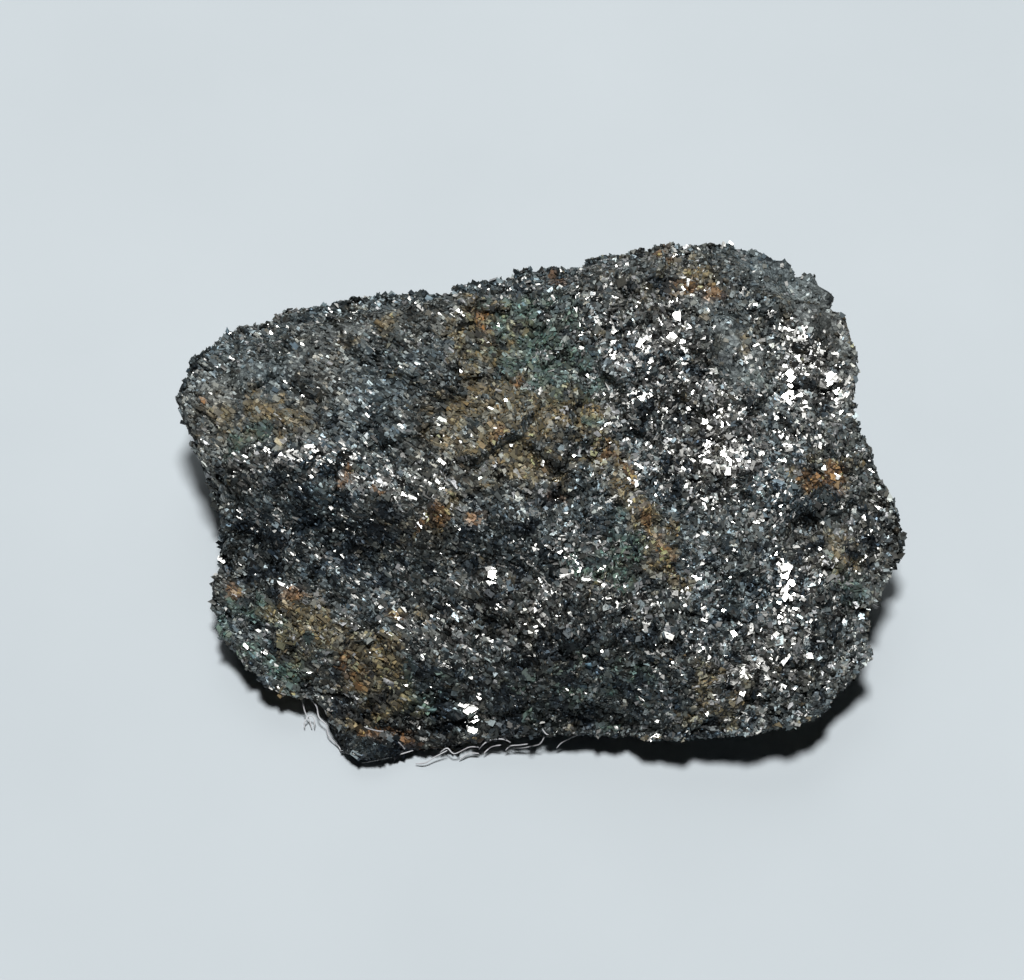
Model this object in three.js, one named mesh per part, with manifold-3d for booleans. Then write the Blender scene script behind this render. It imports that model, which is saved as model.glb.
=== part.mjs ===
// A broken piece of granular vaesite ore, lying as it rests on a table.
// Millimetres, +Z up. The origin is under the middle of the stone, on the table.
// The stone is one solid: a rough wedge with a step across its left half, a bench in front of
// the step, a lower shelf on the right, and coarse cube crystals grown into its surface.
import * as THREE from "three";
import { mergeVertices } from "three/addons/utils/BufferGeometryUtils.js";
import Module from "manifold-3d";

// Driving size: the stone's longest extent, along X
const LENGTH = 30.0;

// The skin's quads across the upper side, and from its broken edge down to the foot
const ACROSS_QUADS = 32;
const WALL_QUADS = 8;

// The broken edge of the upper side, anticlockwise from +X: azimuth in degrees, radius, height
const EDGE = [
  [0, 14.5, 4.5], [7, 13.7, 5.9], [13, 13.3, 6.3], [21, 14.0, 6.6], [30, 14.4, 7.0],
  [38, 14.7, 6.7], [47, 13.7, 7.4], [60, 11.3, 8.1], [75, 10.2, 7.6], [90, 9.4, 7.1],
  [105, 9.6, 6.5], [120, 10.9, 5.5], [135, 12.5, 5.0], [148, 14.8, 4.7], [158, 15.7, 5.0],
  [166, 15.2, 4.8], [174, 14.2, 4.3], [183, 13.6, 3.1], [191, 14.0, 2.2], [199, 14.3, 1.9],
  [206, 13.9, 1.7], [213, 13.3, 1.5], [220, 12.1, 1.2], [228, 12.4, 0.8], [234, 12.3, 0.7],
  [243, 10.7, 0.7], [258, 9.5, 1.1], [275, 9.4, 1.5], [290, 10.3, 1.8], [302, 11.6, 2.1],
  [314, 13.2, 2.4], [324, 14.4, 2.3], [333, 14.8, 2.7], [342, 14.5, 3.2], [348, 14.9, 3.6],
  [354, 15.1, 3.7],
];

// Where the wall meets the table: azimuth in degrees, radius, and how far the wall between
// the edge and the foot bulges out, or is hollow where it is below zero
const FOOT = [
  [0, 12.8, 0.5], [22, 13.6, -0.3], [40, 14.6, 0.9], [62, 12.5, -0.3], [88, 11.2, 0.8],
  [112, 11.0, -0.1], [135, 12.6, 1.2], [158, 14.2, 0.8], [180, 12.7, 0.5], [199, 12.6, 0.2],
  [215, 11.2, 0.2], [232, 11.7, 0.1], [246, 9.8, 0.1], [260, 8.8, 0.1], [275, 8.4, 0.1],
  [290, 8.7, 0.2], [314, 10.8, 0.3], [333, 12.2, -0.2], [348, 12.8, 0.3],
];

// The broken faces of the upper side: height over the origin, slope along X, slope along Y
const MAIN_FACE = [7.9, -0.15, 0.2];
const LEFT_FACE = [8.0, 0.226, 0.115];
const FAR_BEVEL = [14.9, 0.295, -0.8];
const FAR_CORNER = [19.0, -0.6, -0.6];
const STEP_FACE = [10.6, 0.47, 0.95];
const BENCH = [6.8, 0.235, 0.34];
const RIGHT_LOBE = [10.2, -0.335, 0.466];
const SHELF_RISER = [11.9, -0.5, 0.87];
const SHELF = [8.1, -0.25, 0.15];
const FRONT_FACE = [16.0, 0.3, 1.6];
// How far two faces blend where they meet: at a sharp arris, and at a worn one
const SHARP_ARRIS = 0.4;
const WORN_ARRIS = 0.8;
// The share of the radius beyond which the faces turn down to the broken edge
const EDGE_START = 0.82;

// Hollows broken out of the upper side, and ridges left on it:
// x, y, half length, half width, turn in degrees, depth below or height above the face
const HOLLOWS = [
  [-12.0, -1.6, 2.6, 1.7, -20, 0.9],
  [-7.6, -1.7, 2.4, 0.9, -14, 0.8],
  [-1.6, -3.6, 2.6, 0.8, -12, 0.6],
  [4.4, -4.8, 1.6, 0.7, 20, 0.4],
  [12.4, -1.2, 2.2, 1.1, -20, 0.5],
  [-3.6, -7.6, 3.0, 1.2, 5, 0.35],
];
const RIDGES = [
  [-9.6, -2.6, 2.8, 0.55, -38, 0.6],
  [6.6, -3.2, 2.2, 0.6, 15, 0.3],
  [-10.0, 0.9, 3.2, 0.7, -6, 0.35],
];

// The broken texture: size of a lump or a flat chip, and how far it stands out
const LUMPS = [[3.1, 0.3], [1.4, 0.14]];
const CHIPS = [[2.4, 0.5], [1.25, 0.34]];
// How much of the texture goes out at the broken edge and on the wall, and how much goes up
// at the edge, where on the upper side all of it does
const TEXTURE_OUT = 0.8;
const TEXTURE_UP = 0.6;
// The first size of the texture is turned about Z by this many radians, and each next by one more
const FIRST_TURN = 0.7;
// The larger chips that broke out of the wall, and how the wall leans from the edge to the foot
const WALL_CHIP = 4.4;
const WALL_CHIP_DEPTH = 1.5;
const WALL_LEAN = 1.3;
// Where the edge is lower than this the texture calms down, so that it stays whole
const THICK_EDGE = 1.8;
// The underside rests on flats and is hollow between them: the hollows' size and depth, the
// level of the lumps above which they are hollow, and how suddenly they end at the rim
const UNDERSIDE_HOLLOW = 3.6;
const UNDERSIDE_DEPTH = 0.9;
const UNDERSIDE_LEVEL = 0.05;
const UNDERSIDE_RIM = 6;
// Each pattern draws its fixed numbers from a seed of its own
const TEXTURE_SEED = 10;
const WALL_SEED = 70;
const UNDERSIDE_SEED = 90;
const CRYSTAL_SEED = 5;

// The coarse bright crystals: x, y, edge length, turn about Z in degrees
const BRIGHT_CRYSTALS = [
  [10.0, -4.5, 0.95, 20],
  [10.1, -5.6, 0.9, 35],
  [-3.2, -8.4, 0.95, 10],
  [10.5, 4.2, 0.85, 50],
  [8.2, -8.0, 0.75, 15],
  [12.6, 4.5, 0.7, 70],
  [4.4, 7.4, 0.7, 30],
  [-10.6, 2.0, 0.75, 5],
  [-7.4, 1.7, 0.7, 40],
  [6.4, 1.6, 0.7, 60],
];
const BRIGHT_TILT = -0.45;
// More are scattered over the upper side in a golden-angle spiral, turned every way
const SCATTERED_CRYSTALS = 76;
const SCATTERED_SIZES = [0.5, 0.9];
const SCATTERED_REACH = 0.93;
// None grows where the stone is thinner than this
const CRYSTAL_GROUND = 1.6;
// The share of its edge length by which a crystal's middle lies below the surface
const CRYSTAL_SINK = 0.2;

const GOLDEN_ANGLE = Math.PI * (3 - Math.sqrt(5));
const MERGE_DISTANCE = 1e-4;
const { clamp, degToRad, euclideanModulo, lerp, smoothstep } = THREE.MathUtils;

// A smooth closed curve through one column of a table: a cubic Hermite span between each two
// azimuths, with the slope at each taken from its two neighbours
function closedCurve(table, column) {
  const turn = 2 * Math.PI;
  const count = table.length;
  const azimuth = table.map((row) => degToRad(row[0]));
  const value = table.map((row) => row[column]);
  const slope = value.map((_, i) => {
    const before = (i + count - 1) % count;
    const after = (i + 1) % count;
    return (value[after] - value[before]) / euclideanModulo(azimuth[after] - azimuth[before], turn);
  });
  return (angle) => {
    const at = euclideanModulo(angle, turn);
    const i = Math.max(0, azimuth.findLastIndex((start) => start <= at));
    const j = (i + 1) % count;
    const span = euclideanModulo(azimuth[j] - azimuth[i], turn);
    const f = (at - azimuth[i]) / span;
    const g = 1 - f;
    return (1 + 2 * f) * g * g * value[i] + f * g * g * span * slope[i]
      + f * f * (3 - 2 * f) * value[j] - f * f * g * span * slope[j];
  };
}

const edgeRadius = closedCurve(EDGE, 1);
const edgeHeight = closedCurve(EDGE, 2);
const footRadius = closedCurve(FOOT, 1);
const wallBulge = closedCurve(FOOT, 2);

// The lower of two heights, rounded off where they are within `blend` of each other
function lower(a, b, blend) {
  const share = clamp(0.5 + 0.5 * (b - a) / blend, 0, 1);
  return lerp(b, a, share) - blend * share * (1 - share);
}

function higher(a, b, blend) {
  return -lower(-a, -b, blend);
}

// A long soft mound of the given size, turned about Z
function mound(x, y, [centreX, centreY, long, wide, turn, size]) {
  const c = Math.cos(degToRad(turn));
  const s = Math.sin(degToRad(turn));
  const u = ((x - centreX) * c + (y - centreY) * s) / long;
  const v = ((y - centreY) * c - (x - centreX) * s) / wide;
  return size * Math.exp(-(u * u + v * v));
}

// Height of the upper side: the lowest of its broken faces, where the step drops to the bench
// and the riser to the shelf, less the hollows and with the ridges
function upperSide(x, y) {
  const face = ([height, alongX, alongY]) => height + alongX * x + alongY * y;
  const middle = lower(face(MAIN_FACE), face(LEFT_FACE), WORN_ARRIS);
  const far = lower(face(FAR_BEVEL), face(FAR_CORNER), WORN_ARRIS);
  const step = higher(face(STEP_FACE), face(BENCH), SHARP_ARRIS);
  const shelf = higher(face(SHELF_RISER), face(SHELF), SHARP_ARRIS);
  const front = lower(face(RIGHT_LOBE), face(FRONT_FACE), WORN_ARRIS);
  let z = lower(middle, far, SHARP_ARRIS);
  z = lower(z, lower(step, shelf, SHARP_ARRIS), SHARP_ARRIS);
  z = lower(z, front, WORN_ARRIS);
  for (const hollow of HOLLOWS) z -= mound(x, y, hollow);
  for (const ridge of RIDGES) z += mound(x, y, ridge);
  return z;
}

// A fixed number from 0 to 1 for each whole-numbered place: its coordinates, each times a
// large prime, stirred together bit by bit
function placeNumber(ix, iy, iz, seed) {
  let n = Math.imul(ix, 73856093) ^ Math.imul(iy, 19349663)
    ^ Math.imul(iz, 83492791) ^ Math.imul(seed, 2654435761);
  n = Math.imul(n ^ (n >>> 15), 2246822519);
  n = Math.imul(n ^ (n >>> 13), 3266489917);
  return ((n ^ (n >>> 16)) >>> 0) / 2 ** 32;
}

// Lumps from -1 to 1: the numbers of whole-numbered places, blended smoothly between them
function lumps(x, y, z, seed) {
  const corner = [x, y, z].map(Math.floor);
  const share = [x, y, z].map((v, k) => smoothstep(v - corner[k], 0, 1));
  let total = 0;
  for (const dx of [0, 1]) {
    for (const dy of [0, 1]) {
      for (const dz of [0, 1]) {
        const weight = [dx, dy, dz].reduce((w, d, k) => w * (d ? share[k] : 1 - share[k]), 1);
        total += weight * placeNumber(corner[0] + dx, corner[1] + dy, corner[2] + dz, seed);
      }
    }
  }
  return total * 2 - 1;
}

// Flat chips, from about -0.5 to 0.5: a point belongs to the nearest of the scattered seed
// points, one in each unit cell, and each seed point has its own height and tilted plane
function chips(x, y, z, seed) {
  const cell = [x, y, z].map(Math.floor);
  let nearest = Infinity;
  let height = 0;
  for (const dx of [-1, 0, 1]) {
    for (const dy of [-1, 0, 1]) {
      for (const dz of [-1, 0, 1]) {
        const own = (k) => placeNumber(cell[0] + dx, cell[1] + dy, cell[2] + dz, seed + k);
        const toX = x - cell[0] - dx - own(1);
        const toY = y - cell[1] - dy - own(2);
        const toZ = z - cell[2] - dz - own(3);
        const distance = toX * toX + toY * toY + toZ * toZ;
        if (distance >= nearest) continue;
        nearest = distance;
        height = own(4) - 0.5 + toX * (own(5) - 0.5) + toY * (own(6) - 0.5) + toZ * (own(7) - 0.5);
      }
    }
  }
  return height;
}

// How far the broken texture stands out at a point. Each size is turned about Z by its own
// angle, so that no two line up
function texture(x, y, z) {
  let out = 0;
  [...LUMPS, ...CHIPS].forEach(([size, depth], i) => {
    const c = Math.cos(FIRST_TURN + i) / size;
    const s = Math.sin(FIRST_TURN + i) / size;
    const pattern = i < LUMPS.length ? lumps : chips;
    out += depth * pattern(x * c - y * s, x * s + y * c, z / size, TEXTURE_SEED * (i + 1));
  });
  return out;
}

// A point of the upper side: `across` runs from 0 in the middle to 1 at the broken edge. The
// texture stands up in the middle, and outwards at the edge
function upperPoint(across, angle) {
  const c = Math.cos(angle);
  const s = Math.sin(angle);
  const rimHeight = edgeHeight(angle);
  const nearEdge = smoothstep(across, EDGE_START, 1);
  const radius = across * edgeRadius(angle);
  const height = lerp(upperSide(radius * c, radius * s), rimHeight, nearEdge);
  const calm = lerp(1, Math.min(1, rimHeight / THICK_EDGE), nearEdge);
  const bump = calm * texture(radius * c, radius * s, height);
  const out = radius + TEXTURE_OUT * nearEdge * bump;
  return new THREE.Vector3(out * c, out * s, height + lerp(1, TEXTURE_UP, nearEdge) * bump);
}

// A point of the wall: `down` runs from 0 at the broken edge to 1 at the foot. The large chips
// only go inwards, deeper towards the foot
function wallPoint(down, angle) {
  const c = Math.cos(angle);
  const s = Math.sin(angle);
  const rimHeight = edgeHeight(angle);
  const belly = Math.sin(Math.PI * down);
  const calm = Math.min(1, rimHeight / THICK_EDGE);
  const radius = lerp(edgeRadius(angle), footRadius(angle), down ** WALL_LEAN)
    + wallBulge(angle) * belly;
  const height = rimHeight * (1 - down);
  const place = [radius * c, radius * s, height].map((v) => v / WALL_CHIP);
  const chip = Math.min(0, chips(...place, WALL_SEED) - 0.5);
  const bump = calm * texture(radius * c, radius * s, height);
  const broken = calm * WALL_CHIP_DEPTH * Math.sin(Math.PI * down / 2) * chip;
  const out = radius + TEXTURE_OUT * bump + broken;
  return new THREE.Vector3(out * c, out * s, height + TEXTURE_UP * (1 - down) * bump);
}

// A point of the underside: the foot's outline drawn in towards the middle, with hollows
function undersidePoint(across, angle) {
  const foot = wallPoint(1, angle);
  const x = across * foot.x;
  const y = across * foot.y;
  const lump = lumps(x / UNDERSIDE_HOLLOW, y / UNDERSIDE_HOLLOW, 0.5, UNDERSIDE_SEED);
  const inside = 1 - across ** UNDERSIDE_RIM;
  const hollow = UNDERSIDE_DEPTH * inside * Math.max(0, lump - UNDERSIDE_LEVEL);
  return new THREE.Vector3(x, y, hollow);
}

// A square from -1 to 1 laid evenly over a disc: the distance from the middle, and the angle
function squareToDisc(a, b) {
  const wide = Math.abs(a) >= Math.abs(b);
  const reach = wide ? a : b;
  const share = reach === 0 ? 0 : (wide ? b : a) / reach;
  const angle = wide ? share * Math.PI / 4 : (2 - share) * Math.PI / 4;
  return [Math.abs(reach), reach < 0 ? angle + Math.PI : angle];
}

// The skin is a box of quads, 2 along each edge, whose every point is moved onto the stone
function skinGeometry() {
  const box = new THREE.BoxGeometry(2, 2, 2, ACROSS_QUADS, ACROSS_QUADS, WALL_QUADS);
  const position = box.getAttribute("position");
  for (let i = 0; i < position.count; i++) {
    const [across, angle] = squareToDisc(position.getX(i), position.getY(i));
    const down = (1 - position.getZ(i)) / 2;
    let point = wallPoint(down, angle);
    if (down === 0) point = upperPoint(across, angle);
    if (down === 1) point = undersidePoint(across, angle);
    position.setXYZ(i, point.x, point.y, point.z);
  }
  return box;
}

// A cube crystal sunk into the skin at a point, turned about X, then Y, then Z
function crystalGeometry(root, size, turns) {
  const cube = new THREE.BoxGeometry(size, size, size);
  cube.applyMatrix4(new THREE.Matrix4().makeRotationFromEuler(new THREE.Euler(...turns, "ZYX")));
  cube.translate(root.x, root.y, root.z - CRYSTAL_SINK * size);
  return cube;
}

function brightCrystals() {
  return BRIGHT_CRYSTALS.map(([x, y, size, turn]) => {
    const angle = Math.atan2(y, x);
    const root = upperPoint(Math.hypot(x, y) / edgeRadius(angle), angle);
    return crystalGeometry(root, size, [BRIGHT_TILT, BRIGHT_TILT / 2, degToRad(turn)]);
  });
}

function scatteredCrystals() {
  const crystals = [];
  for (let i = 0; i < SCATTERED_CRYSTALS; i++) {
    const share = (i + 0.5) / SCATTERED_CRYSTALS;
    const root = upperPoint(SCATTERED_REACH * Math.sqrt(share), i * GOLDEN_ANGLE);
    if (root.z < CRYSTAL_GROUND) continue;
    const size = lerp(...SCATTERED_SIZES, placeNumber(i, 0, 0, CRYSTAL_SEED));
    const turns = [1, 2, 3].map((k) => 2 * Math.PI * placeNumber(i, k, 0, CRYSTAL_SEED));
    crystals.push(crystalGeometry(root, size, turns));
  }
  return crystals;
}

const wasm = await Module();
wasm.setup();

function toSolid(geometry) {
  geometry.deleteAttribute("normal");
  geometry.deleteAttribute("uv");
  const merged = mergeVertices(geometry, MERGE_DISTANCE);
  return new wasm.Manifold(new wasm.Mesh({
    numProp: 3,
    vertProperties: merged.getAttribute("position").array,
    triVerts: new Uint32Array(merged.index.array),
  }));
}

function toGeometry(solid) {
  const { vertProperties, triVerts } = solid.getMesh();
  const geometry = new THREE.BufferGeometry();
  geometry.setAttribute("position", new THREE.BufferAttribute(vertProperties, 3));
  geometry.setIndex(new THREE.BufferAttribute(triVerts, 1));
  return geometry;
}

// The stone: its skin with the crystals fused on, brought to its real length, with the origin
// under the middle of its box
function stoneGeometry() {
  const crystals = [...brightCrystals(), ...scatteredCrystals()];
  const solid = crystals.reduce((stone, cube) => stone.add(toSolid(cube)), toSolid(skinGeometry()));
  const geometry = toGeometry(solid);
  geometry.computeBoundingBox();
  const drawnLength = geometry.boundingBox.max.x - geometry.boundingBox.min.x;
  const scale = LENGTH / drawnLength;
  geometry.scale(scale, scale, scale);
  geometry.computeBoundingBox();
  const { min, max } = geometry.boundingBox;
  geometry.translate(-(min.x + max.x) / 2, -(min.y + max.y) / 2, -min.z);
  return geometry;
}

const oreMaterial = new THREE.MeshStandardMaterial({
  color: 0x4f5453,
  roughness: 0.42,
  metalness: 0.55,
  flatShading: true,
});

const specimen = new THREE.Group();
const stone = new THREE.Mesh(stoneGeometry(), oreMaterial);
stone.name = "vaesite_stone";
specimen.add(stone);

export default specimen;
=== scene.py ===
import math

import bpy
import numpy as np
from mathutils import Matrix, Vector


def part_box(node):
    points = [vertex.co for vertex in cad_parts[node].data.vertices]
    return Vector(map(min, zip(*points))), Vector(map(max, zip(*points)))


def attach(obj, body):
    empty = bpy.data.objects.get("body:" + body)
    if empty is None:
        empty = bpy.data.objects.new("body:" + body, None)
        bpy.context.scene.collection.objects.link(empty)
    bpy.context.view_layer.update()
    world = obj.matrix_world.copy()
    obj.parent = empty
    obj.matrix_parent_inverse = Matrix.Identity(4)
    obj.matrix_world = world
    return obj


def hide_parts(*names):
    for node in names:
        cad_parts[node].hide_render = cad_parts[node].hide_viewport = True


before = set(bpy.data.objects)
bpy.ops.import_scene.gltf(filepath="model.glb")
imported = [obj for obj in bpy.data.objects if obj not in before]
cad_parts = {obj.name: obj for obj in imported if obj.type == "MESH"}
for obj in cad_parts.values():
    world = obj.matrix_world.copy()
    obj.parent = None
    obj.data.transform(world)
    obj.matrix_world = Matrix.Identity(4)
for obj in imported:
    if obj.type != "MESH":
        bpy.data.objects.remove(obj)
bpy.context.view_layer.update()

# A broken piece of granular vaesite ore on a pale table, seen from above.
# The stone's shape is worked out in millimetres, as it was drawn, and then brought into the
# frame's metres. Its skin is the solid's own, with finer relief and a slightly shifted rim.
# Crystal grains cover it.

NODE = "vaesite_stone"
TURN = 2 * math.pi

# The solid's own tables and sizes, in millimetres and degrees

# The broken edge of the upper side, fitted to the photograph's outline: azimuth, radius, height
EDGE = (
    (0, 14.5, 4.5), (7, 13.7, 5.9), (13, 13.3, 6.3), (21, 14.0, 6.6), (30, 14.4, 7.0),
    (38, 14.7, 6.7), (47, 13.7, 7.4), (60, 11.3, 8.1), (75, 10.2, 7.6), (90, 9.4, 7.1),
    (105, 9.6, 6.5), (120, 10.9, 5.5), (135, 12.5, 5.0), (148, 14.8, 4.7), (158, 15.7, 5.0),
    (166, 15.2, 4.8), (174, 14.2, 4.3), (183, 13.6, 3.1), (191, 14.0, 2.2), (199, 14.3, 1.9),
    (206, 13.9, 1.7), (213, 13.3, 1.5), (220, 12.1, 1.2), (228, 12.4, 0.8), (234, 12.3, 0.7),
    (243, 10.7, 0.7), (258, 9.5, 1.1), (275, 9.4, 1.5), (290, 10.3, 1.8), (302, 11.6, 2.1),
    (314, 13.2, 2.4), (324, 14.4, 2.3), (333, 14.8, 2.7), (342, 14.5, 3.2), (348, 14.9, 3.6),
    (354, 15.1, 3.7),
)
# The foot of the wall: azimuth, radius, and how far the wall bulges above it
FOOT = (
    (0, 12.8, 0.5), (22, 13.6, -0.3), (40, 14.6, 0.9), (62, 12.5, -0.3), (88, 11.2, 0.8),
    (112, 11.0, -0.1), (135, 12.6, 1.2), (158, 14.2, 0.8), (180, 12.7, 0.5), (199, 12.6, 0.2),
    (215, 11.2, 0.2), (232, 11.7, 0.1), (246, 9.8, 0.1), (260, 8.8, 0.1), (275, 8.4, 0.1),
    (290, 8.7, 0.2), (314, 10.8, 0.3), (333, 12.2, -0.2), (348, 12.8, 0.3),
)
# The broken faces: each as its height over the middle, and its rise along x and along y
MAIN_FACE = (7.9, -0.15, 0.2)
LEFT_FACE = (8.0, 0.226, 0.115)
FAR_BEVEL = (14.9, 0.295, -0.8)
FAR_CORNER = (19.0, -0.6, -0.6)
STEP_FACE = (10.6, 0.47, 0.95)
BENCH = (6.8, 0.235, 0.34)
RIGHT_LOBE = (10.2, -0.335, 0.466)
SHELF_RISER = (11.9, -0.5, 0.87)
SHELF = (8.1, -0.25, 0.15)
FRONT_FACE = (16.0, 0.3, 1.6)
# How far two faces blend where they meet: at a sharp arris, and at a worn one
SHARP_ARRIS = 0.4
WORN_ARRIS = 0.8
# The share of the radius beyond which the faces turn down to the broken edge
EDGE_START = 0.82
# Hollows and ridges: each as x, y, half length, half width, turn, and depth or height
HOLLOWS = (
    (-12.0, -1.6, 2.6, 1.7, -20, 0.9),
    (-7.6, -1.7, 2.4, 0.9, -14, 0.8),
    (-1.6, -3.6, 2.6, 0.8, -12, 0.6),
    (4.4, -4.8, 1.6, 0.7, 20, 0.4),
    (12.4, -1.2, 2.2, 1.1, -20, 0.5),
    (-3.6, -7.6, 3.0, 1.2, 5, 0.35),
)
RIDGES = (
    (-9.6, -2.6, 2.8, 0.55, -38, 0.6),
    (6.6, -3.2, 2.2, 0.6, 15, 0.3),
    (-10.0, 0.9, 3.2, 0.7, -6, 0.35),
)
# The broken texture: sizes and depths of its lumps and chips, the shares of it that go out and
# up at the broken edge, and the turn of its first pattern in radians
LUMPS = ((3.1, 0.3), (1.4, 0.14))
CHIPS = ((2.4, 0.5), (1.25, 0.34))
TEXTURE_OUT = 0.8
TEXTURE_UP = 0.6
FIRST_TURN = 0.7
# The large chips of the wall, and the power by which the wall leans from its edge to its foot
WALL_CHIP = 4.4
WALL_CHIP_DEPTH = 1.5
WALL_LEAN = 1.3
# Where the edge is lower than this the texture calms down
THICK_EDGE = 1.8
# The hollows of the underside: their size, their depth, the level of soft lumps that they start
# at, and the power that keeps them off the rim
UNDERSIDE_HOLLOW = 3.6
UNDERSIDE_DEPTH = 0.9
UNDERSIDE_LEVEL = 0.05
UNDERSIDE_RIM = 6
# Seeds of the solid's patterns
TEXTURE_SEED = 10
WALL_SEED = 70
UNDERSIDE_SEED = 90
# The solid's quads, across the upper side and down the wall
SOLID_QUADS = (32, 8)


def closed_curve(table, column, angle):
    """A smooth closed curve through one column of a table, read at these angles: a cubic Hermite
    span between each two azimuths. The slope at each is the rise between its two neighbours
    over the gap between them."""
    azimuth = np.radians([row[0] for row in table])
    value = np.array([row[column] for row in table])
    gap = np.mod(np.roll(azimuth, -1) - np.roll(azimuth, 1), TURN)
    slope = (np.roll(value, -1) - np.roll(value, 1)) / gap
    at = np.mod(angle, TURN)
    i = np.searchsorted(azimuth, at, side="right") - 1
    j = (i + 1) % len(table)
    span = np.mod(azimuth[j] - azimuth[i], TURN)
    f = (at - azimuth[i]) / span
    g = 1 - f
    return (
        (1 + 2 * f) * g * g * value[i] + f * g * g * span * slope[i]
        + f * f * (3 - 2 * f) * value[j] - f * f * g * span * slope[j]
    )


def smoothstep(value, low, high):
    t = np.clip((value - low) / (high - low), 0, 1)
    return t * t * (3 - 2 * t)


def mix(a, b, share):
    return a + (b - a) * share


def lower(a, b, blend):
    """The lower of two heights, rounded off where they are within blend of each other."""
    share = np.clip(0.5 + 0.5 * (b - a) / blend, 0, 1)
    return mix(b, a, share) - blend * share * (1 - share)


def higher(a, b, blend):
    return -lower(-a, -b, blend)


def mound(x, y, middle_x, middle_y, long, wide, turn, size):
    """A long soft mound: its size times the exponential of minus the squared distance from its
    middle, measured along and across it in its own half length and half width."""
    c = math.cos(math.radians(turn))
    s = math.sin(math.radians(turn))
    u = ((x - middle_x) * c + (y - middle_y) * s) / long
    v = ((y - middle_y) * c - (x - middle_x) * s) / wide
    return size * np.exp(-(u * u + v * v))


def upper_side(x, y):
    """Height of the upper side: the lowest of its broken faces, where the step drops to the
    bench and the riser to the shelf, less the hollows and with the ridges."""
    def face(plane):
        return plane[0] + plane[1] * x + plane[2] * y

    middle = lower(face(MAIN_FACE), face(LEFT_FACE), WORN_ARRIS)
    far = lower(face(FAR_BEVEL), face(FAR_CORNER), WORN_ARRIS)
    step = higher(face(STEP_FACE), face(BENCH), SHARP_ARRIS)
    shelf = higher(face(SHELF_RISER), face(SHELF), SHARP_ARRIS)
    front = lower(face(RIGHT_LOBE), face(FRONT_FACE), WORN_ARRIS)
    z = lower(middle, far, SHARP_ARRIS)
    z = lower(z, lower(step, shelf, SHARP_ARRIS), SHARP_ARRIS)
    z = lower(z, front, WORN_ARRIS)
    return z - sum(mound(x, y, *row) for row in HOLLOWS) + sum(mound(x, y, *row) for row in RIDGES)


def place_number(ix, iy, iz, seed):
    """A fixed number from 0 to 1 for each whole-numbered place: its coordinates, each times a
    large prime, stirred together bit by bit."""
    ix, iy, iz = (np.asarray(v, np.int64).astype(np.uint32) for v in (ix, iy, iz))
    n = ix * np.uint32(73856093) ^ iy * np.uint32(19349663) ^ iz * np.uint32(83492791)
    n = n ^ np.uint32(seed * 2654435761 & 0xFFFFFFFF)
    n = (n ^ (n >> np.uint32(15))) * np.uint32(2246822519)
    n = (n ^ (n >> np.uint32(13))) * np.uint32(3266489917)
    return (n ^ (n >> np.uint32(16))) / 2.0**32


def lumps(x, y, z, seed):
    """Soft lumps from -1 to 1: the numbers of whole-numbered places, blended smoothly."""
    x, y, z = np.broadcast_arrays(x, y, z)
    corner = [np.floor(v) for v in (x, y, z)]
    share = [smoothstep(v - k, 0, 1) for v, k in zip((x, y, z), corner)]
    total = 0
    for dx in (0, 1):
        for dy in (0, 1):
            for dz in (0, 1):
                weight = 1
                for step, part in zip((dx, dy, dz), share):
                    weight = weight * (part if step else 1 - part)
                place = place_number(corner[0] + dx, corner[1] + dy, corner[2] + dz, seed)
                total = total + weight * place
    return total * 2 - 1


def chips(x, y, z, seed):
    """Flat chips, from about -0.5 to 0.5: a point belongs to the nearest of the scattered seed
    points, one in each unit cell, and each seed point has its own height and tilted plane."""
    x, y, z = np.broadcast_arrays(x, y, z)
    cell = [np.floor(v) for v in (x, y, z)]
    nearest = np.full(x.shape, np.inf)
    height = np.zeros(x.shape)
    for dx in (-1, 0, 1):
        for dy in (-1, 0, 1):
            for dz in (-1, 0, 1):
                place = (cell[0] + dx, cell[1] + dy, cell[2] + dz)
                to_x = x - place[0] - place_number(*place, seed + 1)
                to_y = y - place[1] - place_number(*place, seed + 2)
                to_z = z - place[2] - place_number(*place, seed + 3)
                distance = to_x**2 + to_y**2 + to_z**2
                own = (
                    place_number(*place, seed + 4) - 0.5
                    + to_x * (place_number(*place, seed + 5) - 0.5)
                    + to_y * (place_number(*place, seed + 6) - 0.5)
                    + to_z * (place_number(*place, seed + 7) - 0.5)
                )
                closer = distance < nearest
                nearest = np.where(closer, distance, nearest)
                height = np.where(closer, own, height)
    return height


def texture(x, y, z):
    """How far the broken texture stands out: the lumps and chips of every size, each turned
    about Z by its own angle."""
    out = 0
    for i, (size, depth) in enumerate(LUMPS + CHIPS):
        c = math.cos(FIRST_TURN + i) / size
        s = math.sin(FIRST_TURN + i) / size
        pattern = lumps if i < len(LUMPS) else chips
        out = out + depth * pattern(x * c - y * s, x * s + y * c, z / size, TEXTURE_SEED * (i + 1))
    return out


def upper_point(across, angle):
    """A point of the upper side: the distance from the middle runs from 0 to 1 at the broken
    edge. The height goes over to the edge's own, and the texture from standing up to out."""
    c = np.cos(angle)
    s = np.sin(angle)
    rim_height = closed_curve(EDGE, 2, angle)
    near_edge = smoothstep(across, EDGE_START, 1)
    radius = across * closed_curve(EDGE, 1, angle)
    height = mix(upper_side(radius * c, radius * s), rim_height, near_edge)
    calm = mix(1, np.minimum(1, rim_height / THICK_EDGE), near_edge)
    bump = calm * texture(radius * c, radius * s, height)
    out = radius + TEXTURE_OUT * near_edge * bump
    return np.stack([out * c, out * s, height + mix(1, TEXTURE_UP, near_edge) * bump], -1)


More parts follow.
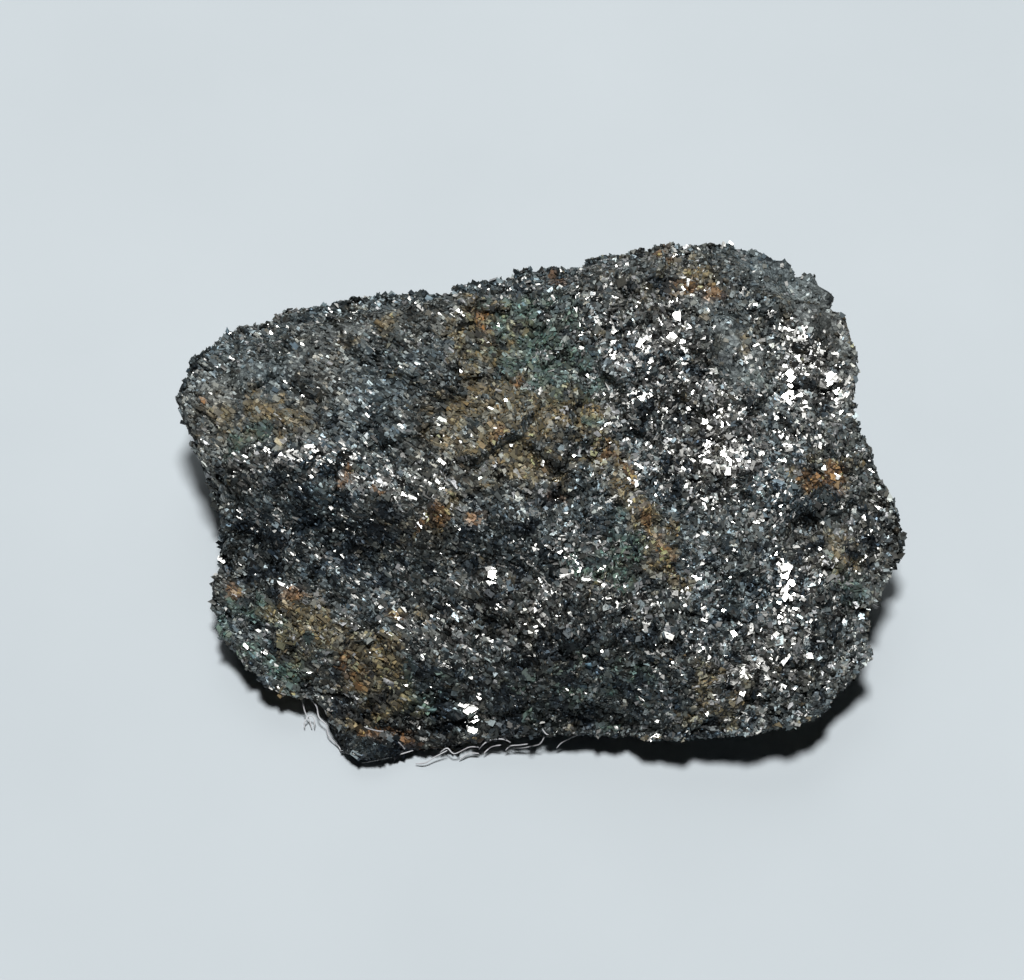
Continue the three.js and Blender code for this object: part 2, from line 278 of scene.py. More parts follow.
def wall_point(down, angle):
    """A point of the wall, from 0 at the broken edge to 1 at the foot: the radius goes from the
    edge's to the foot's by a power, with a bulge, and large chips that only go inwards, deeper
    towards the foot."""
    c = np.cos(angle)
    s = np.sin(angle)
    rim_height = closed_curve(EDGE, 2, angle)
    belly = np.sin(np.pi * down)
    calm = np.minimum(1, rim_height / THICK_EDGE)
    radius = mix(closed_curve(EDGE, 1, angle), closed_curve(FOOT, 1, angle), down**WALL_LEAN)
    radius = radius + closed_curve(FOOT, 2, angle) * belly
    height = rim_height * (1 - down)
    chip = chips(radius * c / WALL_CHIP, radius * s / WALL_CHIP, height / WALL_CHIP, WALL_SEED)
    bump = calm * texture(radius * c, radius * s, height)
    broken = calm * WALL_CHIP_DEPTH * np.sin(np.pi * down / 2) * np.minimum(0, chip - 0.5)
    out = radius + TEXTURE_OUT * bump + broken
    return np.stack([out * c, out * s, height + TEXTURE_UP * (1 - down) * bump], -1)


def underside_point(across, angle):
    """A point of the underside: the foot's outline drawn in towards the middle, raised into
    hollows where a pattern of soft lumps is above a level."""
    foot = wall_point(np.ones_like(angle), angle)
    x = across * foot[:, 0]
    y = across * foot[:, 1]
    lump = lumps(x / UNDERSIDE_HOLLOW, y / UNDERSIDE_HOLLOW, 0.5, UNDERSIDE_SEED)
    inside = 1 - across**UNDERSIDE_RIM
    hollow = UNDERSIDE_DEPTH * inside * np.maximum(0, lump - UNDERSIDE_LEVEL)
    return np.stack([x, y, hollow], -1)


def square_to_disc(a, b):
    """A square from -1 to 1 laid evenly over a disc: each ring of the square becomes a circle,
    with the place along a side as the share of a quarter turn."""
    wide = np.abs(a) >= np.abs(b)
    reach = np.where(wide, a, b)
    share = np.where(wide, b, a) / np.where(reach == 0, 1, reach)
    angle = np.where(wide, share, 2 - share) * math.pi / 4
    return np.abs(reach), np.where(reach < 0, angle + math.pi, angle)


def skin(across_quads, wall_quads):
    """The stone's whole skin, as points and quads: a square grid on the upper side, rings of
    its rim down the wall, and a square grid on the underside whose rim is the last ring.
    The quads of the upper side come first, then those of the wall, then the underside's."""
    side = across_quads + 1
    ticks = np.linspace(-1, 1, side)
    a, b = (v.ravel() for v in np.meshgrid(ticks, ticks, indexing="ij"))
    across, angle = square_to_disc(a, b)
    index = np.arange(side * side).reshape(side, side)
    rim = np.concatenate([index[-1, :-1], index[:0:-1, -1], index[0, :0:-1], index[:-1, 0]])
    down = np.repeat(np.arange(1, wall_quads) / wall_quads, len(rim))
    rim_angle = np.tile(angle[rim], wall_quads - 1)
    points = np.concatenate(
        [upper_point(across, angle), wall_point(down, rim_angle), underside_point(across, angle)]
    )
    first_ring = side * side
    first_under = first_ring + len(rim) * (wall_quads - 1)
    rings = np.arange(first_ring, first_under).reshape(-1, len(rim))
    rings = np.concatenate([rim[None], rings, rim[None] + first_under])
    after = np.roll(rings, -1, axis=1)
    wall = np.stack([rings[:-1], rings[1:], after[1:], after[:-1]], -1).reshape(-1, 4)
    top = np.stack([index[:-1, :-1], index[1:, :-1], index[1:, 1:], index[:-1, 1:]], -1)
    top = top.reshape(-1, 4)
    return points, np.concatenate([top, wall, top[:, ::-1] + first_under])


# The drawn stone is brought into the frame by the box of the solid's own quads
cad_size = Vector(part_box(NODE)[1]) - Vector(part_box(NODE)[0])
drawn = skin(*SOLID_QUADS)[0]
drawn_low = drawn.min(0)
drawn_high = drawn.max(0)
SCALE = float(cad_size.x / (drawn_high[0] - drawn_low[0]))
ORIGIN = np.array([*(drawn_low + drawn_high)[:2] / 2, 0])


def to_frame(points):
    return (np.asarray(points) - ORIGIN) * SCALE


# Small helpers for arrays


def normalised(v):
    return v / np.maximum(np.linalg.norm(v, axis=-1, keepdims=True), 1e-12)


def corner_normals(points, quads):
    """Each point's normal: the sum of its quads' diagonals' cross products, made unit length."""
    corner = points[quads]
    cross = np.cross(corner[:, 2] - corner[:, 0], corner[:, 3] - corner[:, 1])
    total = np.zeros_like(points)
    for k in range(4):
        for axis in range(3):
            total[:, axis] += np.bincount(quads[:, k], cross[:, axis], len(points))
    return normalised(total)


def scattered(points, quads, count, rng):
    """Points spread evenly over quads by area, with the quads' normals: each takes a quad with
    a chance by its area, and a place on it between its corners."""
    corner = points[quads]
    cross = np.cross(corner[:, 2] - corner[:, 0], corner[:, 3] - corner[:, 1])
    area = np.linalg.norm(cross, axis=1)
    pick = np.searchsorted(np.cumsum(area) / area.sum(), rng.random(count))
    pick = np.minimum(pick, len(quads) - 1)
    u, v = rng.random((2, count, 1))
    near = mix(corner[pick, 0], corner[pick, 1], u)
    far = mix(corner[pick, 3], corner[pick, 2], u)
    return mix(near, far, v), normalised(cross[pick])


# The most cubes that a grid has to a side
GRID_SIDE = 4096


def spaced(points, pitch):
    """Which points stay if each cube of a grid of this pitch holds one at most: the cube's three
    places are packed into one number."""
    place = np.floor(points / pitch).astype(np.int64) + GRID_SIDE // 2
    key = (place[:, 0] * GRID_SIDE + place[:, 1]) * GRID_SIDE + place[:, 2]
    return np.sort(np.unique(key, return_index=True)[1])


# Where the ore changes over the upper side: each patch as x, y, half length, half width, turn and
# strength. Sparkle makes more grains bright and lightens the ore as painted sheen, fine makes the
# ore smooth and even.
SPARKLE = (
    (4.2, 5.2, 2.4, 1.5, -10, 1.0),
    (6.0, 7.6, 1.2, 0.8, 60, 0.7),
    (10.9, 5.9, 2.0, 1.2, -40, 1.0),
    (7.4, 3.4, 2.6, 1.1, 0, 0.7),
    (6.8, 0.8, 4.2, 2.0, -8, 1.0),
    (11.4, 3.6, 1.6, 1.4, 0, 0.6),
    (10.4, -4.6, 1.6, 1.6, 0, 0.7),
    (8.6, -7.4, 2.0, 1.0, 20, 0.8),
    (-8.9, 0.5, 3.4, 0.7, -11, 1.5),
    (-9.3, -2.4, 2.6, 0.5, -38, 0.8),
    (1.0, -4.6, 2.6, 1.3, 10, 0.6),
    (-4.5, -5.4, 2.4, 1.2, -25, 0.5),
    (-0.6, 8.6, 2.4, 0.7, 10, 0.5),
)
FINE = (
    (10.6, 8.6, 4.2, 1.6, -35, 1.0),
    (8.3, 5.0, 2.8, 1.1, -50, 1.3),
    (11.6, 8.2, 2.4, 1.2, -45, 1.2),
    (13.2, 4.0, 1.0, 3.6, 0, 0.5),
    (-8.8, 6.6, 6.4, 0.8, 16, 0.9),
    (-12.6, 3.0, 1.6, 3.0, 0, 0.5),
    (-1.0, 3.0, 2.4, 3.4, -30, 0.6),
    (-9.6, 4.6, 4.6, 1.5, 10, 0.6),
    (-5.4, 3.4, 3.0, 2.0, -20, 0.45),
)
# Painted shade: these patches darken the ore on the step, along the lip and in the hollows that
# face away from the light
SHADE = (
    (-12.0, -1.6, 2.6, 1.7, -20, 1.0),
    (-7.6, -1.7, 2.6, 1.0, -14, 1.0),
    (-2.0, -3.4, 2.6, 0.9, -12, 0.8),
    (-5.0, -7.9, 3.4, 1.2, 5, 0.9),
    (2.0, -7.6, 3.4, 1.4, 5, 0.9),
    (12.6, -1.4, 2.2, 1.1, -20, 0.6),
    (-6.0, -3.6, 3.0, 0.8, -30, 0.6),
    (-3.0, -9.6, 4.4, 0.7, 2, 1.4),
    (-8.0, 3.8, 5.4, 1.8, 8, 0.2),
)
RUST = (
    (0.4, 8.4, 0.35, 1.0, 20, 0.8),
    (5.1, 9.7, 0.6, 0.5, 0, 0.6),
    (6.4, 7.8, 1.2, 0.5, -10, 0.7),
    (-2.6, 6.4, 0.4, 0.4, 0, 0.7),
    (-6.9, 5.1, 0.4, 0.3, 0, 0.6),
    (-14.0, 4.3, 0.3, 0.4, 0, 0.8),
    (-4.4, -1.9, 0.6, 0.5, 30, 1.2),
    (-3.0, -2.1, 0.45, 0.3, 0, 0.9),
    (-8.2, 0.0, 0.5, 0.35, -20, 0.8),
    (-6.7, -0.4, 0.5, 0.3, -20, 0.7),
    (-13.1, -3.3, 0.5, 0.4, -20, 1.3),
    (-10.0, -3.7, 0.8, 0.35, -40, 0.8),
    (-6.0, -4.9, 0.7, 0.4, -30, 0.8),
    (-8.0, -6.8, 1.3, 0.35, -20, 0.6),
    (11.7, 0.4, 0.8, 0.6, 20, 1.3),
    (-2.0, 1.6, 1.0, 0.6, -30, 0.5),
    (-0.9, 3.8, 0.9, 0.6, 20, 0.5),
    (0.4, -1.0, 0.9, 0.5, -40, 0.5),
    (3.0, 0.2, 1.6, 0.4, -52, 0.6),
    (4.6, -3.0, 1.4, 0.4, -62, 0.7),
    (-6.7, -8.8, 0.8, 0.4, 10, 0.9),
    (8.0, -5.9, 0.4, 0.3, 0, 0.6),
    (-5.6, -9.4, 0.7, 0.3, 0, 0.9),
    (-1.8, -9.2, 0.6, 0.25, 0, 0.8),
)
OCHRE = (
    (-1.8, 1.8, 3.4, 2.6, -42, 1.0),
    (-2.4, 6.2, 1.4, 1.0, -30, 0.7),
    (3.3, -0.6, 3.6, 0.8, -58, 0.95),
    (-11.6, 3.4, 2.2, 1.3, -20, 0.75),
    (-7.4, 6.4, 1.6, 0.6, 10, 0.6),
    (-8.8, -5.6, 3.6, 0.9, -32, 1.0),
    (-7.0, -7.6, 1.6, 0.9, 60, 0.9),
    (-4.4, -1.9, 1.3, 0.7, 20, 0.7),
    (6.0, 8.4, 2.2, 1.2, 0, 0.75),
    (11.6, 0.6, 1.6, 0.9, 20, 0.8),
    (12.2, -2.4, 1.2, 0.9, 20, 0.7),
    (4.8, -4.0, 1.6, 0.6, -60, 0.7),
    (7.0, -8.2, 1.8, 0.8, 20, 0.7),
    (-5.6, -5.0, 1.4, 0.5, -30, 0.7),
)
GREEN = (
    (-0.6, 5.2, 2.3, 1.7, -40, 1.2),
    (8.6, 4.6, 2.6, 0.9, -40, 0.25),
    (-11.4, -5.0, 2.8, 1.4, -30, 0.75),
    (2.4, -4.2, 2.4, 0.8, 0, 0.65),
    (3.2, -2.8, 1.0, 0.8, 0, 0.8),
    (12.3, -3.4, 1.4, 0.8, 0, 0.7),
    (-5.4, -7.4, 1.8, 0.8, 0, 0.7),
    (1.0, -8.0, 3.4, 1.0, 0, 0.7),
    (-12.4, 2.2, 1.4, 1.0, 0, 0.6),
    (1.4, 2.4, 1.0, 2.4, 20, 0.55),
)
COARSE = (
    (-1.5, -7.4, 6.0, 1.3, 2, 1.0),
    (0.4, -4.6, 4.6, 1.5, 5, 0.9),
    (9.4, -6.2, 3.4, 2.2, 20, 0.8),
    (5.4, -6.6, 2.4, 1.8, 0, 0.8),
    (12.6, -1.8, 1.6, 1.6, 0, 0.6),
)
# Colours of the ore, its stains and its bright grains, as light kept by each; the gaps' colour is
# the painted shade between grains
GREY = 0.15
COOL = (0.78, 1.0, 1.08)
WARM = (1.0, 1.0, 0.88)
OCHRE_TINT = (0.203, 0.15, 0.063)
RUST_TINT = (0.24, 0.115, 0.035)
GREEN_TINT = (0.07, 0.13, 0.096)
GAP_SHADE_COLOUR = (0.012, 0.019, 0.027)
BRIGHT = (0.8, 0.785, 0.74)
# Each stain's zone, its colour, and how much of a tone it takes at least
STAINS = (("green", GREEN_TINT, 0.0), ("ochre", OCHRE_TINT, 0.0), ("rust", RUST_TINT, 0.6))
# How far the tone of one grain strays from the next, as a power of e, and how far it strays
# between soft lumps of two sizes
GRAIN_CONTRAST = 0.72
CLUMP_CONTRAST = 0.5
MOTTLE_CONTRAST = 0.3
# How far a grain strays to the warm or the cool side, as a power of e
TINGE = 0.07
# What is left of the tone under the painted shade of the shaded hollows, and under the painted
# shade along the foot of the wall
SHADE_LEFT = 0.5
FOOT_SHADE_LEFT = 0.2
# How much of a grain's tone its stain takes, at least and at most
STAIN_SHARES = (0.25, 0.9)
# The way that the left half's grains lie
FABRIC = (0.8, -0.6, -0.1)
# The zones and the stains, each with its patches
ZONES = {
    "sparkle": SPARKLE, "fine": FINE, "shade": SHADE, "coarse": COARSE,
    "rust": RUST, "ochre": OCHRE, "green": GREEN,
}
# How soft lumps stir the outlines of the patches: their sizes and reaches, the levels that they
# are read at for x and for y, and the first of their seeds
STIRS = ((1.5, 0.8), (0.5, 0.35))
STIR_LEVELS = (0.5, 7.5)
STIR_SEED = 301
# The most that patches on top of each other add up to
PATCH_MOST = 1.4
# Soft lumps all through the ore, each as size and seed
MOTTLE = (1.7, 311)
WARMTH = (2.3, 312)
CLUMP = (0.7, 313)
GAPS = (0.5, 314)
WALL_STAIN = (2.6, 321)
FAINT_STAIN = (1.1, 322)
# How strong the soft stains are on the walls, and on faces that look up
WALL_STAIN_STRENGTH = 1.1
FAINT_STAIN_STRENGTH = 0.35
# The smears that a stain ends in: size and reach of their lumps, and the first of their seeds
SMEARS = ((0.6, 0.6, 331), (0.3, 0.45, 341))
# How many more of the gaps' painted shade the shade patches have and the fine ore lacks, and how
# many more the bright ore has
GAPS_BY_SHADE = 0.5
GAPS_BY_BRIGHTNESS = 0.2
# Where one thing goes over to another: faces that look up, smears and the gaps' painted shade by
# their level, and the left half and the painted shade along the foot of the wall by their places in
# millimetres, with the sign turned
UP_RANGE = (0.05, 0.45)
SMEAR_RANGE = (0.2, 0.8)
GAP_RANGE = (0.3, 0.75)
LEFT_RANGE = (-1.0, 3.0)
FOOT_SHADE_RANGE = (-1.9, -0.5)


def patches(x, y, rows):
    """The sum of soft patches, with their outlines stirred by soft lumps of two sizes."""
    stirred = [x, y]
    for i, (size, reach) in enumerate(STIRS):
        for axis, level in enumerate(STIR_LEVELS):
            lump = lumps(x / size, y / size, level, STIR_SEED + 2 * i + axis)
            stirred[axis] = stirred[axis] + reach * lump
    return sum(mound(*stirred, *row) for row in rows)


def ore_zones(places, normals):
    """How much of each zone and stain there is at these places, from 0 to 1. The patches hold
    for faces that look up. The walls have a dull ore with faint stains of soft lumps. A stain
    ends where fine lumps carry it over a level, so that it lies in smears."""
    x, y, z = places.T

    def soft(size, seed):
        return lumps(x / size, y / size, z / size, seed)

    up = smoothstep(normals[:, 2], *UP_RANGE)
    zones = {name: up * np.clip(patches(x, y, rows), 0, PATCH_MOST) for name, rows in ZONES.items()}
    stain = WALL_STAIN_STRENGTH * np.maximum(0, soft(*WALL_STAIN))
    faint = FAINT_STAIN_STRENGTH * np.maximum(0, soft(*FAINT_STAIN))
    zones["ochre"] = np.maximum(zones["ochre"], mix(stain, faint, up))
    for i, name in enumerate(("rust", "ochre", "green")):
        smear = sum(reach * soft(size, seed + i) for size, reach, seed in SMEARS)
        zones[name] = smoothstep(zones[name] + smear * np.minimum(1, 2 * zones[name]), *SMEAR_RANGE)
    for name in ("sparkle", "fine", "shade", "coarse"):
        zones[name] = np.minimum(zones[name], 1)
    zones["mottle"] = soft(*MOTTLE)
    zones["clump"] = soft(*CLUMP)
    zones["warmth"] = 0.5 + 0.5 * soft(*WARMTH)
    # The gaps are painted shade between grains, more of it in the shade patches and in the bright
    # ore, less in the fine ore
    gaps = soft(*GAPS) + GAPS_BY_SHADE * zones["shade"] - GAPS_BY_SHADE * zones["fine"]
    gaps = gaps + GAPS_BY_BRIGHTNESS * np.maximum(zones["sparkle"], zones["coarse"])
    zones["deep"] = smoothstep(gaps, *GAP_RANGE)
    zones["left"] = smoothstep(-x, *LEFT_RANGE) * up
    # Painted shade along the foot of the wall: the tone darkens low on the walls, and on the lip
    # where the shade patches reach
    zones["ground"] = smoothstep(-z, *FOOT_SHADE_RANGE) * np.maximum(1 - up, zones["shade"])
    zones["up"] = up
    return zones


# How much lighter the fine ore is, and the painted sheen that lightens the sparkling ore by as
# much, and how much of the tone the gaps' painted shade takes
LIGHTER_AND_SHEEN = 1.25
GAP_SHADE_SHARE = 0.8


def ore_colour(zone, stain_share):
    """The ore's colour where it has these zones, and how much of it is stained: a grey that is
    warmer and cooler in soft patches, lighter in the fine ore and with painted sheen in the
    sparkling ore, darkened by painted shade in the hollows, along the foot of the wall and in the
    gaps, under its stains."""
    value = GREY * np.exp(CLUMP_CONTRAST * zone["clump"] + MOTTLE_CONTRAST * zone["mottle"])
    # Painted shade darkens the tone in the shade patches and along the foot of the wall
    value = value * mix(1, SHADE_LEFT, zone["shade"]) * mix(1, FOOT_SHADE_LEFT, zone["ground"])
    # The fine ore is lighter in its own colour, the sparkling ore lighter by painted sheen
    value = value * mix(1, LIGHTER_AND_SHEEN, np.maximum(zone["fine"], zone["sparkle"]))
    colour = value[:, None] * mix(np.array(COOL), np.array(WARM), zone["warmth"][:, None])
    stained = np.zeros(len(value))
    for name, tint, least in STAINS:
        amount = np.maximum(stain_share, least) * zone[name]
        # The stains take the same painted shade in the shade patches
        shaded = np.array(tint) * mix(1, SHADE_LEFT, zone["shade"])[:, None]
        colour = mix(colour, shaded, amount[:, None])
        stained = np.maximum(stained, amount)
    # The gaps' painted shade goes over the ore and its stains
    return mix(colour, np.array(GAP_SHADE_COLOUR), GAP_SHADE_SHARE * zone["deep"][:, None]), stained


# How much less the grains of the fine ore differ in tone, how much more those of the sparkle
# and the coarse ore do, and the most light that a dull grain keeps
FINE_EVENNESS = 0.6
MORE_CONTRAST = 0.35
LIGHTEST_GRAIN = 0.45
# The share of grains that are bright: everywhere, and what sparkle, coarse ore and clumps add
FLASH_SHARE = 0.07
FLASH_BY_SPARKLE = 0.5
FLASH_BY_COARSE = 0.1
FLASH_BY_CLUMP = 0.6
# What the painted shade along the foot of the wall, the stains and the gaps' painted shade take
# from that share
FOOT_SHADE_TAKES = 0.8
STAIN_TAKES = 0.8
GAP_TAKES = 0.7
# How bright those grains are: at least, by how much more at most, and the power that keeps
# most of them dim
SHINE_LEAST = 0.18
SHINE_SPREAD = 0.66
SHINE_POWER = 1.5
# Metallic of a dull grain, the least roughness of a bright, a clean and a stained one, and what
# chance adds to it
DULL_METAL = 0.65
FLASH_ROUGH = 0.22
CLEAN_ROUGH = 0.36
STAINED_ROUGH = 0.7
ROUGH_SPREAD = 0.16


def grain_tones(zone, rng):
    """Colour, metallic and roughness for grains with these zones, and which of them flash."""
    count = len(zone["up"])
    colour, stained = ore_colour(zone, mix(*STAIN_SHARES, rng.random(count)))
    even = 1 - FINE_EVENNESS * zone["fine"]
    more = 1 + MORE_CONTRAST * np.maximum(zone["sparkle"], zone["coarse"])
    contrast = GRAIN_CONTRAST * even * more
    colour = colour * np.exp(contrast * rng.normal(size=count))[:, None]
    colour = colour * np.exp(TINGE * rng.normal(size=(count, 1)) * np.array((1, 0, -1)))
    colour = np.minimum(colour, LIGHTEST_GRAIN)
    chance = FLASH_SHARE + FLASH_BY_SPARKLE * zone["sparkle"] + FLASH_BY_COARSE * zone["coarse"]
    chance = chance * (1 + FLASH_BY_CLUMP * zone["clump"]) * (1 - FOOT_SHADE_TAKES * zone["ground"])
    chance = chance * even * (1 - STAIN_TAKES * stained) * (1 - GAP_TAKES * zone["deep"])
    flash = rng.random(count) < chance
    shine = SHINE_LEAST + SHINE_SPREAD * rng.random((count, 1)) ** SHINE_POWER
    colour = np.where(flash[:, None], np.array(BRIGHT) * shine, colour)
    metal = np.where(flash, 1.0, DULL_METAL * (1 - stained))
    dull_rough = mix(CLEAN_ROUGH, STAINED_ROUGH, stained)
    rough = np.where(flash, FLASH_ROUGH, dull_rough) + ROUGH_SPREAD * rng.random(count)
    return colour, metal, rough, flash


# Meshes


def mesh_piece(name, points, faces, material, smooth=False):
    """A piece of the scene from points in drawn millimetres and faces of equal corner count."""
    mesh = bpy.data.meshes.new(name)
    mesh.from_pydata(to_frame(points), [], faces)
    mesh.polygons.foreach_set("use_smooth", np.broadcast_to(smooth, len(faces)))
    mesh.materials.append(material)
    mesh.update()
    piece = bpy.data.objects.new(name, mesh)
    bpy.context.scene.collection.objects.link(piece)
    return piece


def store(piece, name, values):
    """Keeps a number or a colour for every vertex of a piece."""
    values = np.asarray(values, np.float32)
    if values.ndim == 1:
        layer = piece.data.attributes.new(name, "FLOAT", "POINT")
        layer.data.foreach_set("value", values)
        return
    rgba = np.ones((len(values), 4), np.float32)
    rgba[:, :3] = values
    layer = piece.data.attributes.new(name, "FLOAT_COLOR", "POINT")
    layer.data.foreach_set("color", rgba.ravel())


def keep_map(piece, uv):
    """Stores a map: one place for every corner of every face, in the faces' order."""
    layer = piece.data.uv_layers.new(name="OFBake")
    layer.uv.foreach_set("vector", np.asarray(uv, np.float32).ravel())


# The margin about each crystal on the map, as a share of its square
CELL_MARGIN = 0.15


def cell_map(shape, cells):
    """A map on which every crystal has a small square of its own, with a margin about it: faces
    of four corners fill it, and faces of three fill its two halves in turn."""
    faces = shape[1]
    across = math.ceil(math.sqrt(cells))
    square = np.array([(0, 0), (1, 0), (1, 1), (0, 1)]) * (1 - 2 * CELL_MARGIN) + CELL_MARGIN
    turns = [(0, 1, 2, 3)] if faces.shape[1] == 4 else [(0, 1, 2), (0, 2, 3)]
    corner = square[np.resize(turns, faces.shape)]
    cell = np.arange(cells)
    low = np.stack([cell % across, cell // across], -1)
    return (low[:, None, None, :] + corner[None]) / across


# A block of crystal and a flat crystal with a point below it: the corners, from -1/2 to 1/2,
# and the faces, which look out
BLOCK = (
    np.array([(x, y, z) for x in (-1, 1) for y in (-1, 1) for z in (-1, 1)]) / 2,
    np.array([(0, 1, 3, 2), (4, 6, 7, 5), (0, 4, 5, 1), (2, 3, 7, 6), (0, 2, 6, 4), (1, 5, 7, 3)]),
)
FLAKE = (
    np.array([(-1, -1, 1), (1, -1, 1), (1, 1, 1), (-1, 1, 1), (0, 0, -1)]) / 2,
    np.array([(0, 1, 2), (0, 2, 3), (4, 1, 0), (4, 2, 1), (4, 3, 2), (4, 0, 3)]),
)
# How far a crystal's corners stray along its three axes, as shares of its sizes
CRYSTAL_SKEW = (0.4, 0.4, 0.15)


def crystals(shape, middles, axes, sizes, rng):
    """Crystals of one shape: its corners, each moved at random by the skew, times the crystal's
    three sizes, laid along its three axes from its middle."""
    corners, faces = shape
    count = len(middles)
    stray = np.array(CRYSTAL_SKEW) * (rng.random((count, len(corners), 3)) - 0.5)
    own = (corners + stray) * sizes[:, None, :]
    points = middles[:, None, :] + np.einsum("nck,nkd->ncd", own, axes)
    numbered = faces + len(corners) * np.arange(count)[:, None, None]
    return points.reshape(-1, 3), numbered.reshape(-1, faces.shape[1])


# How strong a given way is, against chance, for a crystal's first axis
WAY_STRENGTH = 2.0


def crystal_axes(normals, tilt, along, aligned, rng):
    """Three axes for each crystal: the third leans off the normal at random by the tilt, the
    first lies along a given way or at random, square to the third."""
    count = len(normals)
    third = normalised(normals + tilt[:, None] * rng.normal(size=(count, 3)))
    loose = rng.normal(size=(count, 3))
    first = mix(loose, np.asarray(along) * WAY_STRENGTH, aligned[:, None])
    first = first - (first * third).sum(1, keepdims=True) * third
    first = normalised(first)
    return np.stack([first, np.cross(third, first), third], 1)


# Materials


def add(tree, kind, inputs=None, **settings):
    """A shader node with these settings, and inputs that are either joined or set."""
    made = tree.nodes.new(kind)
    for name, value in settings.items():
        setattr(made, name, value)
    for name, value in (inputs or {}).items():
        if isinstance(value, bpy.types.NodeSocket):
            tree.links.new(value, made.inputs[name])
        else:
            made.inputs[name].default_value = value
    return made


def calculate(tree, operation, *values):
    return add(tree, "ShaderNodeMath", dict(enumerate(values)), operation=operation).outputs[0]


def blend(tree, share, first, second):
    """A mix of two colours; the colour sockets of a Mix node are its seventh and eighth."""
    inputs = {0: share, 6: first, 7: second}
    return add(tree, "ShaderNodeMix", inputs, data_type="RGBA").outputs[2]


def span(tree, value, low, high, to_low=0.0, to_high=1.0):
    """A value brought from one range to another, and kept inside it."""
    inputs = {
        "Value": value, "From Min": low, "From Max": high, "To Min": to_low, "To Max": to_high,
    }
    return add(tree, "ShaderNodeMapRange", inputs).outputs["Result"]


def about_zero(tree, colour, size):
    """A vector from a random colour: its distance from the middle grey, times a size."""
    middle = add(
        tree, "ShaderNodeVectorMath", {0: colour, 1: (0.5, 0.5, 0.5)}, operation="SUBTRACT"
    ).outputs[0]
    return add(
        tree, "ShaderNodeVectorMath", {0: middle, "Scale": size}, operation="SCALE"
    ).outputs[0]


def new_group(name, inputs, outputs):
    """An empty shader node group with named inputs, as name, socket type and default, and
    named outputs, as name and socket type."""
    group = bpy.data.node_groups.new(name, "ShaderNodeTree")
    for label, kind, value in inputs:
        socket = group.interface.new_socket(label, in_out="INPUT", socket_type=kind)
        socket.default_value = value
    for label, kind in outputs:
        group.interface.new_socket(label, in_out="OUTPUT", socket_type=kind)
    return group, group.nodes.new("NodeGroupInput"), group.nodes.new("NodeGroupOutput")


# Tarnish: how high its noise is where a speck starts and where it is full, and its colour
SPECK_RANGE = (0.38, 0.68)
TARNISH_COLOUR = (0.008, 0.009, 0.01, 1)
# How far the sides of the crystal cells are stirred, as a share of a cell
CELL_STIR = 0.7


def tarnish_group():
    """Tarnish in fine specks: darkens a colour and roughens a finish where fine noise is high,
    and gives that noise as a height."""
    group, given, made = new_group(
        "tarnish",
        [
            ("Colour", "NodeSocketColor", (0.2, 0.2, 0.2, 1)),
            ("Roughness", "NodeSocketFloat", 0.4),
            ("Speck Scale", "NodeSocketFloat", 6000.0),
            ("Darkening", "NodeSocketFloat", 0.4),
            ("Roughening", "NodeSocketFloat", 0.15),
        ],
        [
            ("Colour", "NodeSocketColor"), ("Roughness", "NodeSocketFloat"),
            ("Height", "NodeSocketFloat"),
        ],
    )
    place = add(group, "ShaderNodeTexCoord").outputs["Object"]
    noise = add(
        group, "ShaderNodeTexNoise",
        {"Vector": place, "Scale": given.outputs["Speck Scale"], "Detail": 3.0, "Roughness": 0.6},
    ).outputs["Fac"]
    speck = span(group, noise, *SPECK_RANGE)
    dark = calculate(group, "MULTIPLY", speck, given.outputs["Darkening"])
    colour = blend(group, dark, given.outputs["Colour"], TARNISH_COLOUR)
    rough = calculate(
        group, "MULTIPLY_ADD", speck, given.outputs["Roughening"], given.outputs["Roughness"]
    )
    group.links.new(colour, made.inputs["Colour"])
    group.links.new(rough, made.inputs["Roughness"])
    group.links.new(noise, made.inputs["Height"])
    return group


